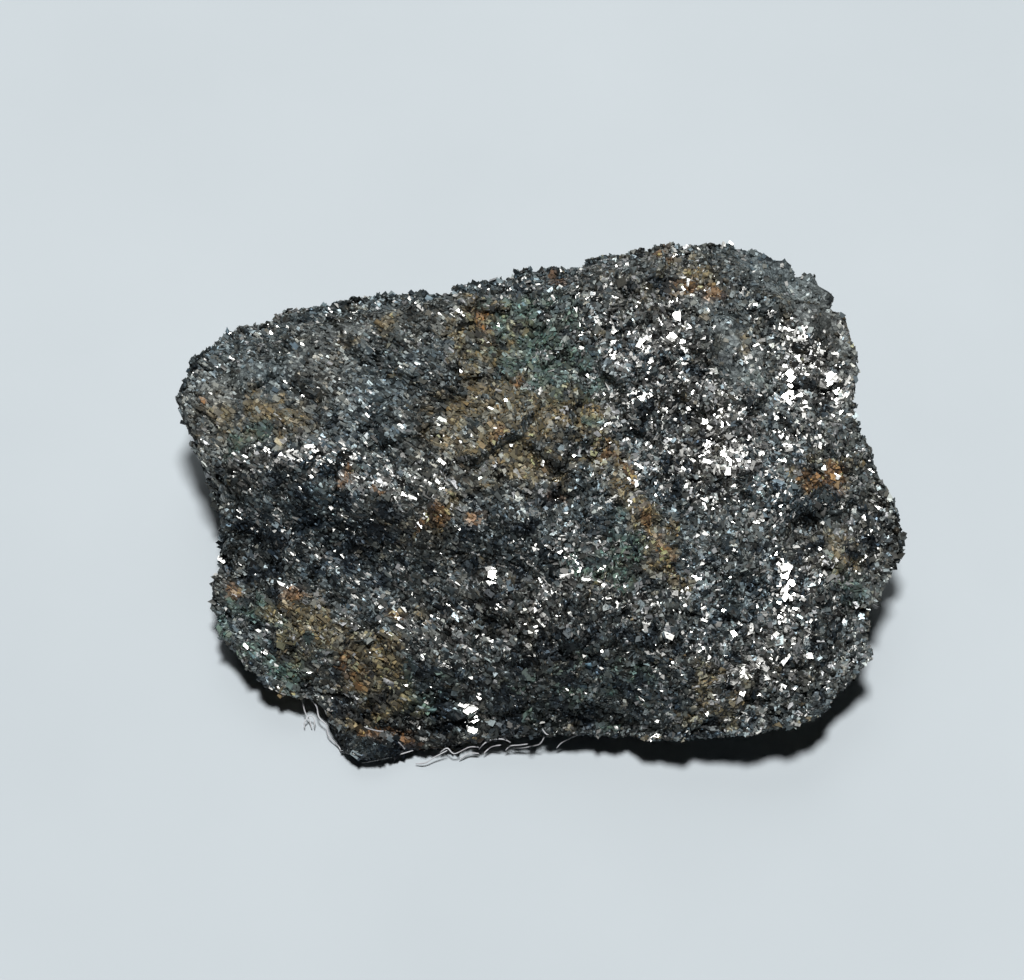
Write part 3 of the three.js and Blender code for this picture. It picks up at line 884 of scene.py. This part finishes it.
def crystal_cells_group():
    """Crystals side by side that fill the ore: a number and a leaning normal for each cell of
    a cell pattern, and a mask of the thin gaps between the cells."""
    group, given, made = new_group(
        "crystal cells",
        [
            ("Scale", "NodeSocketFloat", 5000.0),
            ("Lean", "NodeSocketFloat", 0.5),
            ("Gap Width", "NodeSocketFloat", 0.06),
        ],
        [
            ("Chance", "NodeSocketFloat"), ("Second Chance", "NodeSocketFloat"),
            ("Normal", "NodeSocketVector"), ("Gap", "NodeSocketFloat"),
        ],
    )
    place = add(group, "ShaderNodeTexCoord").outputs["Object"]
    scale = given.outputs["Scale"]
    stir = add(group, "ShaderNodeTexNoise", {"Vector": place, "Scale": scale, "Detail": 1.0})
    stir_size = calculate(group, "DIVIDE", CELL_STIR, scale)
    shift = about_zero(group, stir.outputs["Color"], stir_size)
    moved = add(group, "ShaderNodeVectorMath", {0: place, 1: shift}, operation="ADD").outputs[0]
    cells = add(group, "ShaderNodeTexVoronoi", {"Vector": moved, "Scale": scale})
    edges = add(
        group, "ShaderNodeTexVoronoi", {"Vector": moved, "Scale": scale}, feature="DISTANCE_TO_EDGE"
    )
    chances = add(group, "ShaderNodeSeparateColor", {"Color": cells.outputs["Color"]})
    lean = about_zero(group, cells.outputs["Color"], given.outputs["Lean"])
    upright = add(group, "ShaderNodeNewGeometry").outputs["Normal"]
    normal = add(group, "ShaderNodeVectorMath", {0: upright, 1: lean}, operation="ADD")
    normal = add(group, "ShaderNodeVectorMath", {0: normal.outputs[0]}, operation="NORMALIZE")
    gap = add(
        group, "ShaderNodeMapRange",
        {
            "Value": edges.outputs["Distance"],
            "From Min": 0.0, "From Max": given.outputs["Gap Width"],
            "To Min": 1.0, "To Max": 0.0,
        },
    )
    group.links.new(chances.outputs["Red"], made.inputs["Chance"])
    group.links.new(chances.outputs["Green"], made.inputs["Second Chance"])
    group.links.new(normal.outputs[0], made.inputs["Normal"])
    group.links.new(gap.outputs["Result"], made.inputs["Gap"])
    return group


TARNISH = tarnish_group()
CRYSTAL_CELLS = crystal_cells_group()


def new_material(name):
    material = bpy.data.materials.new(name)
    material.use_nodes = True
    return material, material.node_tree, material.node_tree.nodes["Principled BSDF"]


def attribute(tree, name, output="Fac"):
    return add(tree, "ShaderNodeAttribute", attribute_name=name).outputs[output]


def grain_material():
    """Crystal grains: each has a colour, metallic and roughness of its own, with tarnish."""
    material, tree, shader = new_material("crystal grains")
    tarnish = add(
        tree, "ShaderNodeGroup",
        {
            "Colour": attribute(tree, "tone", "Color"), "Roughness": attribute(tree, "rough"),
            "Speck Scale": 9000.0, "Darkening": 0.35, "Roughening": 0.12,
        },
        node_tree=TARNISH,
    )
    tree.links.new(tarnish.outputs["Colour"], shader.inputs["Base Color"])
    tree.links.new(tarnish.outputs["Roughness"], shader.inputs["Roughness"])
    tree.links.new(attribute(tree, "metal"), shader.inputs["Metallic"])
    return material


# The tones of the crystal cells: the power that keeps most of them dark, the darkest and the
# lightest, and how much of a tone the painted shade of the gaps between them takes
CELL_POWER = 2.2
CELL_TONES = (0.25, 2.9)
CELL_GAP_SHADE_SHARE = 0.85
# The streaks of the fine ore: the way they run, how many times as long as wide they are, the
# noise that they start and end at, their darkest and lightest, and their share of the tone
STREAK_ANGLE = math.atan2(-0.6, 0.8)
STREAK_STRETCH = 5.0
STREAK_RANGE = (0.35, 0.65)
STREAK_TONES = (0.3, 1.9)
STREAK_SHARE = 0.75
# Roughness of a dark cell and of a bright one
CELL_ROUGHNESS = (0.5, 0.26)


def ore_material():
    """The ore itself: cells of crystal in the stone's colour, most dark and a few bright, with
    near-black painted shade in the gaps between them, leaning facets and tarnish."""
    material, tree, shader = new_material("granular ore")
    cells = add(
        tree, "ShaderNodeGroup", {"Scale": 5200.0, "Lean": 0.9, "Gap Width": 0.09},
        node_tree=CRYSTAL_CELLS,
    )
    level = calculate(tree, "POWER", cells.outputs["Chance"], CELL_POWER)
    level = span(tree, level, 0.0, 1.0, *CELL_TONES)
    place = add(tree, "ShaderNodeTexCoord").outputs["Object"]
    drawn_out = add(
        tree, "ShaderNodeMapping",
        {"Vector": place, "Rotation": (0, 0, STREAK_ANGLE), "Scale": (STREAK_STRETCH, 1, 1)},
        vector_type="TEXTURE",
    ).outputs[0]
    noise = add(
        tree, "ShaderNodeTexNoise",
        {"Vector": drawn_out, "Scale": 8000.0, "Detail": 4.0, "Roughness": 0.65},
    ).outputs["Fac"]
    streak = span(tree, noise, *STREAK_RANGE, *STREAK_TONES)
    fine = calculate(tree, "MULTIPLY", attribute(tree, "fine"), STREAK_SHARE)
    granular = calculate(tree, "MULTIPLY", level, calculate(tree, "SUBTRACT", 1.0, fine))
    level = calculate(tree, "ADD", granular, calculate(tree, "MULTIPLY", streak, fine))
    lit = add(
        tree, "ShaderNodeVectorMath", {0: attribute(tree, "tone", "Color"), "Scale": level},
        operation="SCALE",
    ).outputs[0]
    rest = calculate(tree, "SUBTRACT", 1.0, attribute(tree, "flash"))
    flash = calculate(tree, "GREATER_THAN", cells.outputs["Second Chance"], rest)
    colour = blend(tree, flash, lit, (*BRIGHT, 1))
    # Painted shade in the thin gaps between the crystal cells
    dark = calculate(tree, "MULTIPLY", cells.outputs["Gap"], CELL_GAP_SHADE_SHARE)
    colour = blend(tree, dark, colour, (*GAP_SHADE_COLOUR, 1))
    tarnish = add(
        tree, "ShaderNodeGroup",
        {
            "Colour": colour, "Roughness": span(tree, flash, 0.0, 1.0, *CELL_ROUGHNESS),
            "Speck Scale": 7000.0, "Darkening": 0.5, "Roughening": 0.15,
        },
        node_tree=TARNISH,
    )
    tree.links.new(tarnish.outputs["Colour"], shader.inputs["Base Color"])
    tree.links.new(tarnish.outputs["Roughness"], shader.inputs["Roughness"])
    metal = calculate(tree, "MAXIMUM", flash, attribute(tree, "metal"))
    tree.links.new(metal, shader.inputs["Metallic"])
    bump = add(
        tree, "ShaderNodeBump",
        {
            "Height": tarnish.outputs["Height"], "Normal": cells.outputs["Normal"],
            "Strength": 0.4, "Distance": 0.00003,
        },
    )
    tree.links.new(bump.outputs["Normal"], shader.inputs["Normal"])
    return material


LINT_DARK = (0.36, 0.35, 0.36, 1)
LINT_LIGHT = (0.66, 0.66, 0.67, 1)
TABLE_DARK = (0.475, 0.512, 0.532, 1)
TABLE_LIGHT = (0.5, 0.537, 0.557, 1)


def lint_material():
    """Lint: pale fibre, a little darker in soft patches."""
    material, tree, shader = new_material("lint fibre")
    place = add(tree, "ShaderNodeTexCoord").outputs["Object"]
    noise = add(tree, "ShaderNodeTexNoise", {"Vector": place, "Scale": 1500.0}).outputs["Fac"]
    colour = blend(tree, span(tree, noise, 0.35, 0.65), LINT_DARK, LINT_LIGHT)
    tree.links.new(colour, shader.inputs["Base Color"])
    shader.inputs["Roughness"].default_value = 0.7
    shader.inputs["Sheen Weight"].default_value = 0.3
    return material


def table_material():
    """The table: pale matt board with the faintest unevenness."""
    material, tree, shader = new_material("pale table")
    place = add(tree, "ShaderNodeTexCoord").outputs["Object"]
    noise = add(tree, "ShaderNodeTexNoise", {"Vector": place, "Scale": 60.0, "Detail": 4.0})
    share = span(tree, noise.outputs["Fac"], 0.3, 0.7)
    colour = blend(tree, share, TABLE_DARK, TABLE_LIGHT)
    tree.links.new(colour, shader.inputs["Base Color"])
    shader.inputs["Roughness"].default_value = 0.8
    shader.inputs["Specular IOR Level"].default_value = 0.2
    return material


# All grains and crystals share one material
GRAIN = grain_material()


# The stone's skin

# Finer relief of the skin, as size and depth in millimetres, and its share in the fine ore
FINE_LUMPS = ((0.7, 0.07),)
FINE_CHIPS = ((0.95, 0.16), (0.5, 0.1))
FINE_ZONE_RELIEF = 0.4
# The turn of the first of them in radians, and their first seed
FINE_TURN = 2.1
FINE_SEED = 400
# The share of the finer relief that is left on the walls, so that the outline stays even, and
# how far up a face looks where the relief starts to grow and where it is full
EDGE_RELIEF = 0.35
EDGE_RANGE = (0.4, 0.85)
# Pits: size, depth and seed, the levels of soft lumps where they start and where they are full,
# and how much lower those levels are in the shade
PIT_SIZE = 0.55
PIT_DEPTH = 0.25
PIT_SEED = 451
PIT_START = 0.5
PIT_END = 1.0
PITS_BY_SHADE = 0.35
# The heights between which the relief fades in above the table
CLEAR_OF_TABLE = (0.05, 0.8)
# The skin's quads, across the upper side and down the wall
SKIN_QUADS = (170, 22)
# How far the skin lies under the solid's, which leaves room for its grains, and the share of
# that which the fine ore goes without
INSET = 0.11
FINE_RAISED = 0.6
# What is left of the skin's tone under the painted shade of the gaps between the grains, how much
# of it a stain keeps, and the metallic of clean skin
SKIN_GAP_SHADE = 0.28
STAIN_KEEPS = 0.4
SKIN_METAL = 0.5
# The share of cells in the skin that are bright: everywhere, and what the sparkle adds
CELL_FLASH = 0.04
CELL_FLASH_BY_SPARKLE = 0.3
# The skin's map: the side of the upper side's square, where what lies beside it starts, and
# the underside's size as a share of the upper side's
MAP_UPPER = 0.66
MAP_NEXT = 0.67
MAP_UNDER = 0.5
# Where the photographed rim lies a little further out or in than the solid's: each as azimuth
# and half width in degrees, and how far out. The shift starts at a share of the rim's radius.
RIM_SHIFTS = (
    (18.8, 5.0, 0.3), (37.8, 3.5, -0.34), (128.0, 3.5, -0.25), (145.7, 4.0, 0.38),
    (162.5, 3.2, 0.45), (179.0, 6.5, -0.45), (194.0, 4.0, -0.2), (205.0, 4.0, -0.25),
)
SHIFT_START = 0.75


def shifted_rim(points):
    """The skin with its rim moved out by the sum of soft bumps over the azimuth: each its shift
    times the exponential of minus the squared distance from its azimuth, in half widths."""
    radius = np.hypot(points[:, 0], points[:, 1])
    angle = np.arctan2(points[:, 1], points[:, 0])
    azimuth = np.mod(np.degrees(angle), 360)
    out = sum(shift * np.exp(-(((azimuth - at) / wide) ** 2)) for at, wide, shift in RIM_SHIFTS)
    out = out * smoothstep(radius / closed_curve(EDGE, 1, angle), SHIFT_START, 1)
    moved = points.copy()
    moved[:, :2] *= (1 + out / np.maximum(radius, 1))[:, None]
    return moved


def skin_relief(places, normals):
    """How far the finer relief stands out: lumps and chips of every size, turned as the coarse
    ones are, less pits where soft lumps are deep, more of them in the shaded hollows."""
    x, y, z = places.T
    zone = ore_zones(places, normals)
    out = 0
    for i, (size, depth) in enumerate(FINE_LUMPS + FINE_CHIPS):
        c = math.cos(FINE_TURN + i) / size
        s = math.sin(FINE_TURN + i) / size
        pattern = lumps if i < len(FINE_LUMPS) else chips
        seed = FINE_SEED + 10 * i
        out = out + depth * pattern(x * c - y * s, x * s + y * c, z / size, seed)
    pit = lumps(x / PIT_SIZE, y / PIT_SIZE, z / PIT_SIZE, PIT_SEED)
    lowered = PITS_BY_SHADE * zone["shade"]
    pit = smoothstep(pit, PIT_START - lowered, PIT_END - lowered)
    out = out * mix(1, FINE_ZONE_RELIEF, zone["fine"]) - INSET * (1 - FINE_RAISED * zone["fine"])
    clear_of_table = smoothstep(z, *CLEAR_OF_TABLE)
    calm = mix(EDGE_RELIEF, 1, smoothstep(normals[:, 2], *EDGE_RANGE))
    return clear_of_table * calm * (out - PIT_DEPTH * pit * (1 - zone["fine"]))


def skin_map(across_quads, wall_quads):
    """Where each quad of the skin lies on its map: the upper side's square at the lower left,
    the wall's four sides above it, and the underside's square at the right. The lowest rows of
    the wall's fourth side reach past the top of the map."""
    unit = MAP_UPPER / across_quads
    ticks = np.arange(across_quads) * unit
    low = np.stack(np.meshgrid(ticks, ticks, indexing="ij"), -1).reshape(-1, 1, 2)
    corner = np.array([(0, 0), (1, 0), (1, 1), (0, 1)])
    upper = low + corner * unit
    under = low * MAP_UNDER + corner[::-1] * unit * MAP_UNDER + (MAP_NEXT, 0)
    ring = np.arange(4 * across_quads)
    step, place = np.meshgrid(np.arange(wall_quads), ring, indexing="ij")
    side = place // across_quads
    wall_low = np.stack(
        [place % across_quads * unit, MAP_NEXT + (side * (wall_quads + 1) + step) * unit], -1
    ).reshape(-1, 1, 2)
    wall = wall_low + np.array([(0, 0), (0, 1), (1, 1), (1, 0)]) * unit
    return np.concatenate([upper, wall, under])


def stone_body():
    """The stone's closed skin with its finer relief, and what is needed to set grains on it."""
    points, quads = skin(*SKIN_QUADS)
    points = shifted_rim(points)
    normals = corner_normals(points, quads)
    points = points + normals * skin_relief(points, normals)[:, None]
    points[:, 2] = np.maximum(points[:, 2], 0)
    normals = corner_normals(points, quads)
    piece = mesh_piece("stone_body", points, quads, ore_material(), smooth=True)
    zone = ore_zones(points, normals)
    colour, stained = ore_colour(zone, STAIN_SHARES[1])
    # Painted shade: the skin is darker where it shows in the gaps between grains, less so in the
    # fine ore and under stains
    kept = mix(SKIN_GAP_SHADE, 1, np.maximum(zone["fine"], STAIN_KEEPS * stained))
    store(piece, "tone", colour * kept[:, None])
    store(piece, "metal", SKIN_METAL * (1 - stained))
    flash = CELL_FLASH + CELL_FLASH_BY_SPARKLE * zone["sparkle"]
    store(piece, "flash", flash * (1 - STAIN_TAKES * stained))
    store(piece, "fine", zone["fine"])
    keep_map(piece, skin_map(*SKIN_QUADS))
    return piece, points, quads


# Halfway between the way to the camera and the way to the softbox over the stone, and how far
# a bright grain turns to it
FLASH_WAY = (0.0, -0.193, 0.981)
FLASH_TURN = 0.6
# The share of the grains that the fine ore goes without, and the share that are worn smooth
FINE_BARE = 0.88
WORN_SHARE = 0.3
# The share of a grain's rise that is left on the walls, how much grains differ in it, and the
# least height of a grain over the table
WALL_RISE = 0.5
RISE_SPREAD = 0.015
LEAST_HEIGHT = 0.01
# How far the grains of the fine ore lean, and how many of the left half's lie along the grain
FINE_LEAN = 0.12
FABRIC_SHARE = 0.8
# How far a grain's size strays, as a power of e, its limits, and its share in the fine ore, in
# the coarse ore and on the walls
GRAIN_SPREAD = 0.25
GRAIN_LIMITS = (0.6, 1.5)
FINE_SIZE = 0.75
COARSE_SIZE = 1.25
WALL_SIZE = 0.85
# A grain's length, width and depth, each as its least share of that size and what chance adds
GRAIN_LENGTH = (0.9, 0.6)
GRAIN_WIDTH = (0.65, 0.35)
GRAIN_DEPTH = (0.5, 0.3)
# How much longer a bright grain or one of the left half is, and how much narrower a bright one
LONGER = 1.2
NARROWER = 0.75


def grain_piece(name, places, normals, size, seed, rise=0.03, lean=0.22):
    """Crystal grains over the skin: flat crystals of chance sizes, turned every way or along the
    grain of the ore, and sunk in until they rise a little over the skin. Some are worn smooth.
    The bright ones lean to the way that throws the softbox's light to the viewer."""
    rng = np.random.default_rng(seed)
    zone = ore_zones(places, normals)
    stay = rng.random(len(places)) > FINE_BARE * zone["fine"]
    places = places[stay]
    normals = normals[stay]
    zone = {key: value[stay] for key, value in zone.items()}
    count = len(places)
    colour, metal, rough, flash = grain_tones(zone, rng)
    turned = FLASH_TURN * flash * zone["up"]
    toward = normalised(mix(normals, np.array(FLASH_WAY), turned[:, None]))
    tilt = mix(lean, FINE_LEAN, zone["fine"])
    axes = crystal_axes(toward, tilt, FABRIC, FABRIC_SHARE * zone["left"], rng)
    own = size * np.clip(np.exp(GRAIN_SPREAD * rng.normal(size=count)), *GRAIN_LIMITS)
    own = own * mix(1, FINE_SIZE, zone["fine"]) * mix(1, COARSE_SIZE, zone["coarse"])
    own = own * mix(WALL_SIZE, 1, zone["up"])

    def chance_size(least, more):
        return own * (least + more * rng.random(count))

    sizes = np.stack(
        [
            chance_size(*GRAIN_LENGTH) * mix(1, LONGER, np.maximum(zone["left"], flash)),
            chance_size(*GRAIN_WIDTH) * mix(1, NARROWER, flash),
            chance_size(*GRAIN_DEPTH),
        ],
        -1,
    )
    risen = rise * mix(WALL_RISE, 1, zone["up"]) + RISE_SPREAD * rng.normal(size=count)
    out = risen - sizes[:, 2] / 2
    points, faces = crystals(FLAKE, places + normals * out[:, None], axes, sizes, rng)
    corners = len(FLAKE[0])
    lowest = points.reshape(count, corners, 3)[:, :, 2].min(1)
    points[:, 2] += np.repeat(np.maximum(0, LEAST_HEIGHT - lowest), corners)
    worn = ~flash & (rng.random(count) < WORN_SHARE)
    piece = mesh_piece(name, points, faces, GRAIN, smooth=np.repeat(worn, len(FLAKE[1])))
    for label, values in (("tone", colour), ("metal", metal), ("rough", rough)):
        store(piece, label, np.repeat(values, corners, axis=0))
    keep_map(piece, cell_map(FLAKE, count))
    return piece


def grain_layer(names, points, quads, tries, pitch, size, seed, **looks):
    """Grains spread evenly over some of the skin's quads, shared out between pieces."""
    rng = np.random.default_rng(seed)
    places, normals = scattered(points, quads, tries, rng)
    keep = rng.permutation(spaced(places, pitch))
    pieces = []
    for i, name in enumerate(names):
        part = np.sort(keep[i::len(names)])
        pieces.append(grain_piece(name, places[part], normals[part], size, seed + 1 + i, **looks))
    return pieces


# Clusters of large bright crystals on the upper side, as x, y, their number and half their reach
CLUSTERS = (
    (9.95, -3.7, 14, 0.3), (9.9, -4.7, 13, 0.28), (-2.85, -8.2, 17, 0.26), (10.3, 4.0, 12, 0.3),
    (8.2, -7.9, 6, 0.2), (11.9, 4.4, 9, 0.3), (4.3, 4.3, 5, 0.2), (8.9, -7.2, 7, 0.22),
    (9.6, -0.9, 3, 0.16), (-9.6, 1.5, 3, 0.2), (-2.2, -3.6, 3, 0.2), (6.6, 1.9, 5, 0.24),
    (5.4, 5.6, 5, 0.24), (7.6, 0.4, 4, 0.24),
)
# The size of their crystals, how far it strays as a power of e, its limits, and each side of a
# crystal as its least share of that size and what chance adds
CLUSTER_CRYSTAL = 0.24
CLUSTER_SIZE_SPREAD = 0.3
CLUSTER_LIMITS = (0.6, 1.4)
CLUSTER_SIDE = (0.7, 0.5)
# How far they are strewn along x and y, in half reaches, how far they lean, and how many of
# them lie along the grain
CLUSTER_STREW = (0.8, 1.1)
CLUSTER_LEAN = 0.07
CLUSTER_ALIGNED = 0.3
# Their share of the bright colour, as the least and what chance adds, the lightest that one
# gets, and their roughness
CLUSTER_TONE = (0.85, 0.2)
LIGHTEST_CRYSTAL = 0.9
CLUSTER_ROUGH = 0.24
CLUSTER_SEED = 41


def bright_clusters(points):
    """Clusters of bright crystals: in each, blocks strewn about its middle, all leaning to the
    way that throws the softbox's light to the viewer."""
    rng = np.random.default_rng(CLUSTER_SEED)
    rows = np.repeat(np.array(CLUSTERS)[:, [0, 1, 3]], [row[2] for row in CLUSTERS], axis=0)
    count = len(rows)
    corners = len(BLOCK[0])
    xy = rows[:, :2] + rows[:, 2:] * rng.normal(size=(count, 2)) * CLUSTER_STREW
    upper = points[: (SKIN_QUADS[0] + 1) ** 2]
    nearest = np.array([np.argmin(((upper[:, :2] - at) ** 2).sum(1)) for at in xy])
    places = np.concatenate([xy, upper[nearest, 2:]], 1)
    way = np.tile(FLASH_WAY, (count, 1))
    lean = np.full(count, CLUSTER_LEAN)
    axes = crystal_axes(way, lean, FABRIC, np.full(count, CLUSTER_ALIGNED), rng)
    own = np.clip(np.exp(CLUSTER_SIZE_SPREAD * rng.normal(size=count)), *CLUSTER_LIMITS)
    own = CLUSTER_CRYSTAL * own
    sizes = own[:, None] * (CLUSTER_SIDE[0] + CLUSTER_SIDE[1] * rng.random((count, 3)))
    made, faces = crystals(BLOCK, places, axes, sizes, rng)
    piece = mesh_piece("bright_crystals", made, faces, GRAIN)
    tone = CLUSTER_TONE[0] + CLUSTER_TONE[1] * rng.random((count, 1))
    colour = np.minimum(np.array(BRIGHT) * tone, LIGHTEST_CRYSTAL)
    store(piece, "tone", np.repeat(colour, corners, axis=0))
    store(piece, "metal", np.ones(corners * count))
    store(piece, "rough", np.full(corners * count, CLUSTER_ROUGH))
    keep_map(piece, cell_map(BLOCK, count))
    return piece


# Strands of lint along the lower edge, each as places in drawn millimetres
STRANDS = (
    ((-7.4, -10.0, 0.25), (-6.3, -9.8, 0.35), (-5.3, -9.6, 0.6)),
    ((-5.2, -10.0, 0.15), (-4.8, -10.0, 0.25), (-4.4, -9.8, 0.4), (-3.9, -9.6, 0.6)),
    (
        (-4.2, -9.6, 0.4), (-3.9, -9.5, 0.6), (-3.6, -9.7, 0.5), (-3.0, -9.5, 0.7),
        (-2.6, -9.5, 0.7),
    ),
    ((-3.4, -9.8, 0.15), (-3.0, -9.6, 0.3), (-2.6, -9.6, 0.3)),
    ((-2.4, -9.6, 0.3), (-2.1, -9.4, 0.5), (-1.7, -9.4, 0.7)),
    (
        (-2.6, -9.5, 0.5), (-2.4, -9.4, 0.8), (-2.1, -9.3, 1.0), (-1.6, -9.3, 1.05),
        (-1.3, -9.4, 0.95),
    ),
    ((-1.5, -9.5, 0.4), (-1.3, -9.4, 0.6), (-0.9, -9.4, 0.7), (-0.6, -9.4, 0.8)),
    (
        (-1.2, -9.4, 0.4), (-0.8, -9.4, 0.4), (-0.4, -9.4, 0.6), (-0.1, -9.4, 0.8),
        (0.1, -9.2, 1.1),
    ),
    ((0.0, -9.0, 1.4), (0.2, -9.2, 1.3), (0.6, -9.2, 1.3)),
    ((0.6, -9.4, 0.4), (0.8, -9.3, 0.7), (1.2, -9.2, 1.0), (1.5, -9.1, 1.1)),
    ((-9.9, -7.3, 0.9), (-9.8, -7.8, 0.6), (-9.6, -8.1, 0.3), (-9.5, -8.4, 0.1)),
    (
        (-9.6, -7.4, 1.0), (-9.3, -7.7, 0.8), (-9.2, -8.1, 0.6), (-8.9, -8.4, 0.5),
        (-8.8, -8.8, 0.3), (-8.4, -9.2, 0.2), (-8.2, -9.5, 0.2), (-7.6, -9.7, 0.4),
    ),
    (
        (-9.8, -8.4, 0.15), (-9.8, -8.2, 0.3), (-9.6, -8.0, 0.5), (-9.4, -8.1, 0.5),
        (-9.4, -8.4, 0.3),
    ),
    ((-7.3, -8.8, 1.2), (-7.1, -8.9, 1.2), (-6.7, -9.0, 1.2), (-6.5, -9.0, 1.2)),
    ((-5.9, -9.4, 1.0), (-5.7, -9.5, 0.7), (-5.6, -9.6, 0.5)),
)
LINT_RADIUS = 0.028
# The share of that radius that a strand thins towards, and how much it thickens on the way
LINT_THINNEST = 0.35
LINT_THICKENING = 0.15


def smooth_path(places, count):
    """A smooth path through places: a cubic span between each two, whose slope at each place
    is half the way between its neighbours."""
    places = np.array(places)
    before = np.vstack([places[:1], places[:-1]])
    after = np.vstack([places[1:], places[-1:]])
    slope = (after - before) / 2
    at = np.linspace(0, len(places) - 1, count)
    i = np.minimum(at.astype(int), len(places) - 2)
    f = (at - i)[:, None]
    g = 1 - f
    return (
        (1 + 2 * f) * g * g * places[i] + f * g * g * slope[i]
        + f * f * (3 - 2 * f) * places[i + 1] - f * f * g * slope[i + 1]
    )


def strand_tube(places, radius, steps=28, sides=6):
    """A tube about a smooth path: rings of points at right angles to it, thinner at both ends,
    with a little thickening and thinning on the way. The ends are closed for six sides."""
    path = smooth_path(places, steps)
    way = normalised(np.gradient(path, axis=0))
    side = normalised(np.cross(way, (0.0, 0.0, 1.0)))
    up = np.cross(side, way)
    t = np.linspace(0, 1, steps)
    fullness = np.sin(np.pi * np.clip(t, 0.03, 0.97)) ** 0.4
    thick = radius * (LINT_THINNEST + (1 - LINT_THINNEST) * fullness)
    thick = thick * (1 + LINT_THICKENING * np.sin(9 * t))
    turn = np.arange(sides) * TURN / sides
    ring = np.cos(turn)[None, :, None] * side[:, None] + np.sin(turn)[None, :, None] * up[:, None]
    points = (path[:, None] + ring * thick[:, None, None]).reshape(-1, 3)
    index = np.arange(steps * sides).reshape(steps, sides)
    after = np.roll(index, -1, axis=1)
    quads = np.stack([index[:-1], index[1:], after[1:], after[:-1]], -1).reshape(-1, 4)
    ends = np.array([(0, 1, 2, 3), (0, 3, 4, 5)])
    last = index[-1][ends[:, ::-1]]
    return points, np.concatenate([quads, index[0][ends], last])


def lint_strands():
    """The strands of lint as one piece."""
    tubes = [strand_tube(places, LINT_RADIUS) for places in STRANDS]
    starts = np.cumsum([0] + [len(points) for points, _ in tubes])
    points = np.concatenate([points for points, _ in tubes])
    faces = np.concatenate([quads + start for (_, quads), start in zip(tubes, starts)])
    return mesh_piece("lint_strands", points, faces, lint_material(), smooth=True)


# The pieces
body, points, quads = stone_body()
upper_quads = SKIN_QUADS[0] ** 2
under_quads = len(quads) - upper_quads
ore_pieces = [
    body,
    *grain_layer(
        ("middle_grains_one", "middle_grains_two"), points, quads[:under_quads],
        tries=240000, pitch=0.165, size=0.19, seed=60, rise=0.035, lean=0.18,
    ),
    *grain_layer(
        ("fine_grains_one", "fine_grains_two"), points, quads[:upper_quads],
        tries=240000, pitch=0.118, size=0.14, seed=70, rise=0.03, lean=0.3,
    ),
    *grain_layer(
        ("underside_grains",), points, quads[under_quads:],
        tries=40000, pitch=0.26, size=0.26, seed=80,
    ),
    bright_clusters(points),
]
lint = lint_strands()

for piece in ore_pieces:
    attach(piece, "root")
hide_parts(NODE)
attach(lint, "root")


# The table, the lights and the world

# Half the table's side, in metres
TABLE_REACH = 3.0
table_corners = [(-TABLE_REACH, -TABLE_REACH, 0), (TABLE_REACH, -TABLE_REACH, 0)]
table_corners += [(TABLE_REACH, TABLE_REACH, 0), (-TABLE_REACH, TABLE_REACH, 0)]
table_mesh = bpy.data.meshes.new("table")
table_mesh.from_pydata(table_corners, [], [(0, 1, 2, 3)])
table_mesh.materials.append(table_material())
table = bpy.data.objects.new("table", table_mesh)
bpy.context.scene.collection.objects.link(table)


def softbox(name, way, distance, size, power, colour):
    """A round soft light that stands this way from the stone and looks at it. Its distance and
    size are in metres, its power in watts."""
    way = Vector(way).normalized()
    lamp = bpy.data.lights.new(name, "AREA")
    lamp.shape = "DISK"
    lamp.size = size
    lamp.energy = power
    lamp.color = colour
    light = bpy.data.objects.new(name, lamp)
    light.location = way * distance
    light.rotation_mode = "QUATERNION"
    light.rotation_quaternion = (-way).to_track_quat("-Z", "Y")
    bpy.context.scene.collection.objects.link(light)


softbox(
    "softbox over the stone", way=(0.0, 0.1, 0.995), distance=1.0, size=0.2, power=12.0,
    colour=(0.985, 1.0, 1.01),
)
softbox(
    "large far softbox", way=(-0.1, 0.72, 0.69), distance=1.2, size=0.9, power=3.0,
    colour=(0.96, 0.99, 1.0),
)

WORLD_COLOUR = (0.78, 0.86, 0.93, 1)
WORLD_STRENGTH = 0.007
world = bpy.data.worlds.new("studio")
world.use_nodes = True
background = world.node_tree.nodes["Background"]
background.inputs["Color"].default_value = WORLD_COLOUR
background.inputs["Strength"].default_value = WORLD_STRENGTH
bpy.context.scene.world = world

# The photograph's camera: its distance from the stone's middle in drawn millimetres, the angle
# that it looks down at, its lens, sensor and near clip, that middle, and how far beside it the
# camera's axis passes
CAMERA_DISTANCE = 170.0
CAMERA_ELEVATION = 62.0
CAMERA_LENS = 144.3
SENSOR_WIDTH = 36
NEAR_CLIP = 0.01
AIM = (0, 0, 4.0)
AIM_BESIDE = (-1.24, 0.62)
camera_data = bpy.data.cameras.new("camera")
camera_data.lens = CAMERA_LENS
camera_data.sensor_width = SENSOR_WIDTH
camera_data.clip_start = NEAR_CLIP
camera = bpy.data.objects.new("camera", camera_data)
tilt = math.radians(CAMERA_ELEVATION)
back = Vector((0, -math.cos(tilt), math.sin(tilt)))
up = Vector((0, math.sin(tilt), math.cos(tilt)))
aim = Vector(to_frame(AIM)) + (Vector((1, 0, 0)) * AIM_BESIDE[0] + up * AIM_BESIDE[1]) * SCALE
camera.location = aim + back * (CAMERA_DISTANCE * SCALE)
camera.rotation_mode = "QUATERNION"
camera.rotation_quaternion = back.to_track_quat("Z", "Y")
bpy.context.scene.collection.objects.link(camera)
bpy.context.scene.camera = camera
bpy.context.scene.view_settings.view_transform = "Standard"
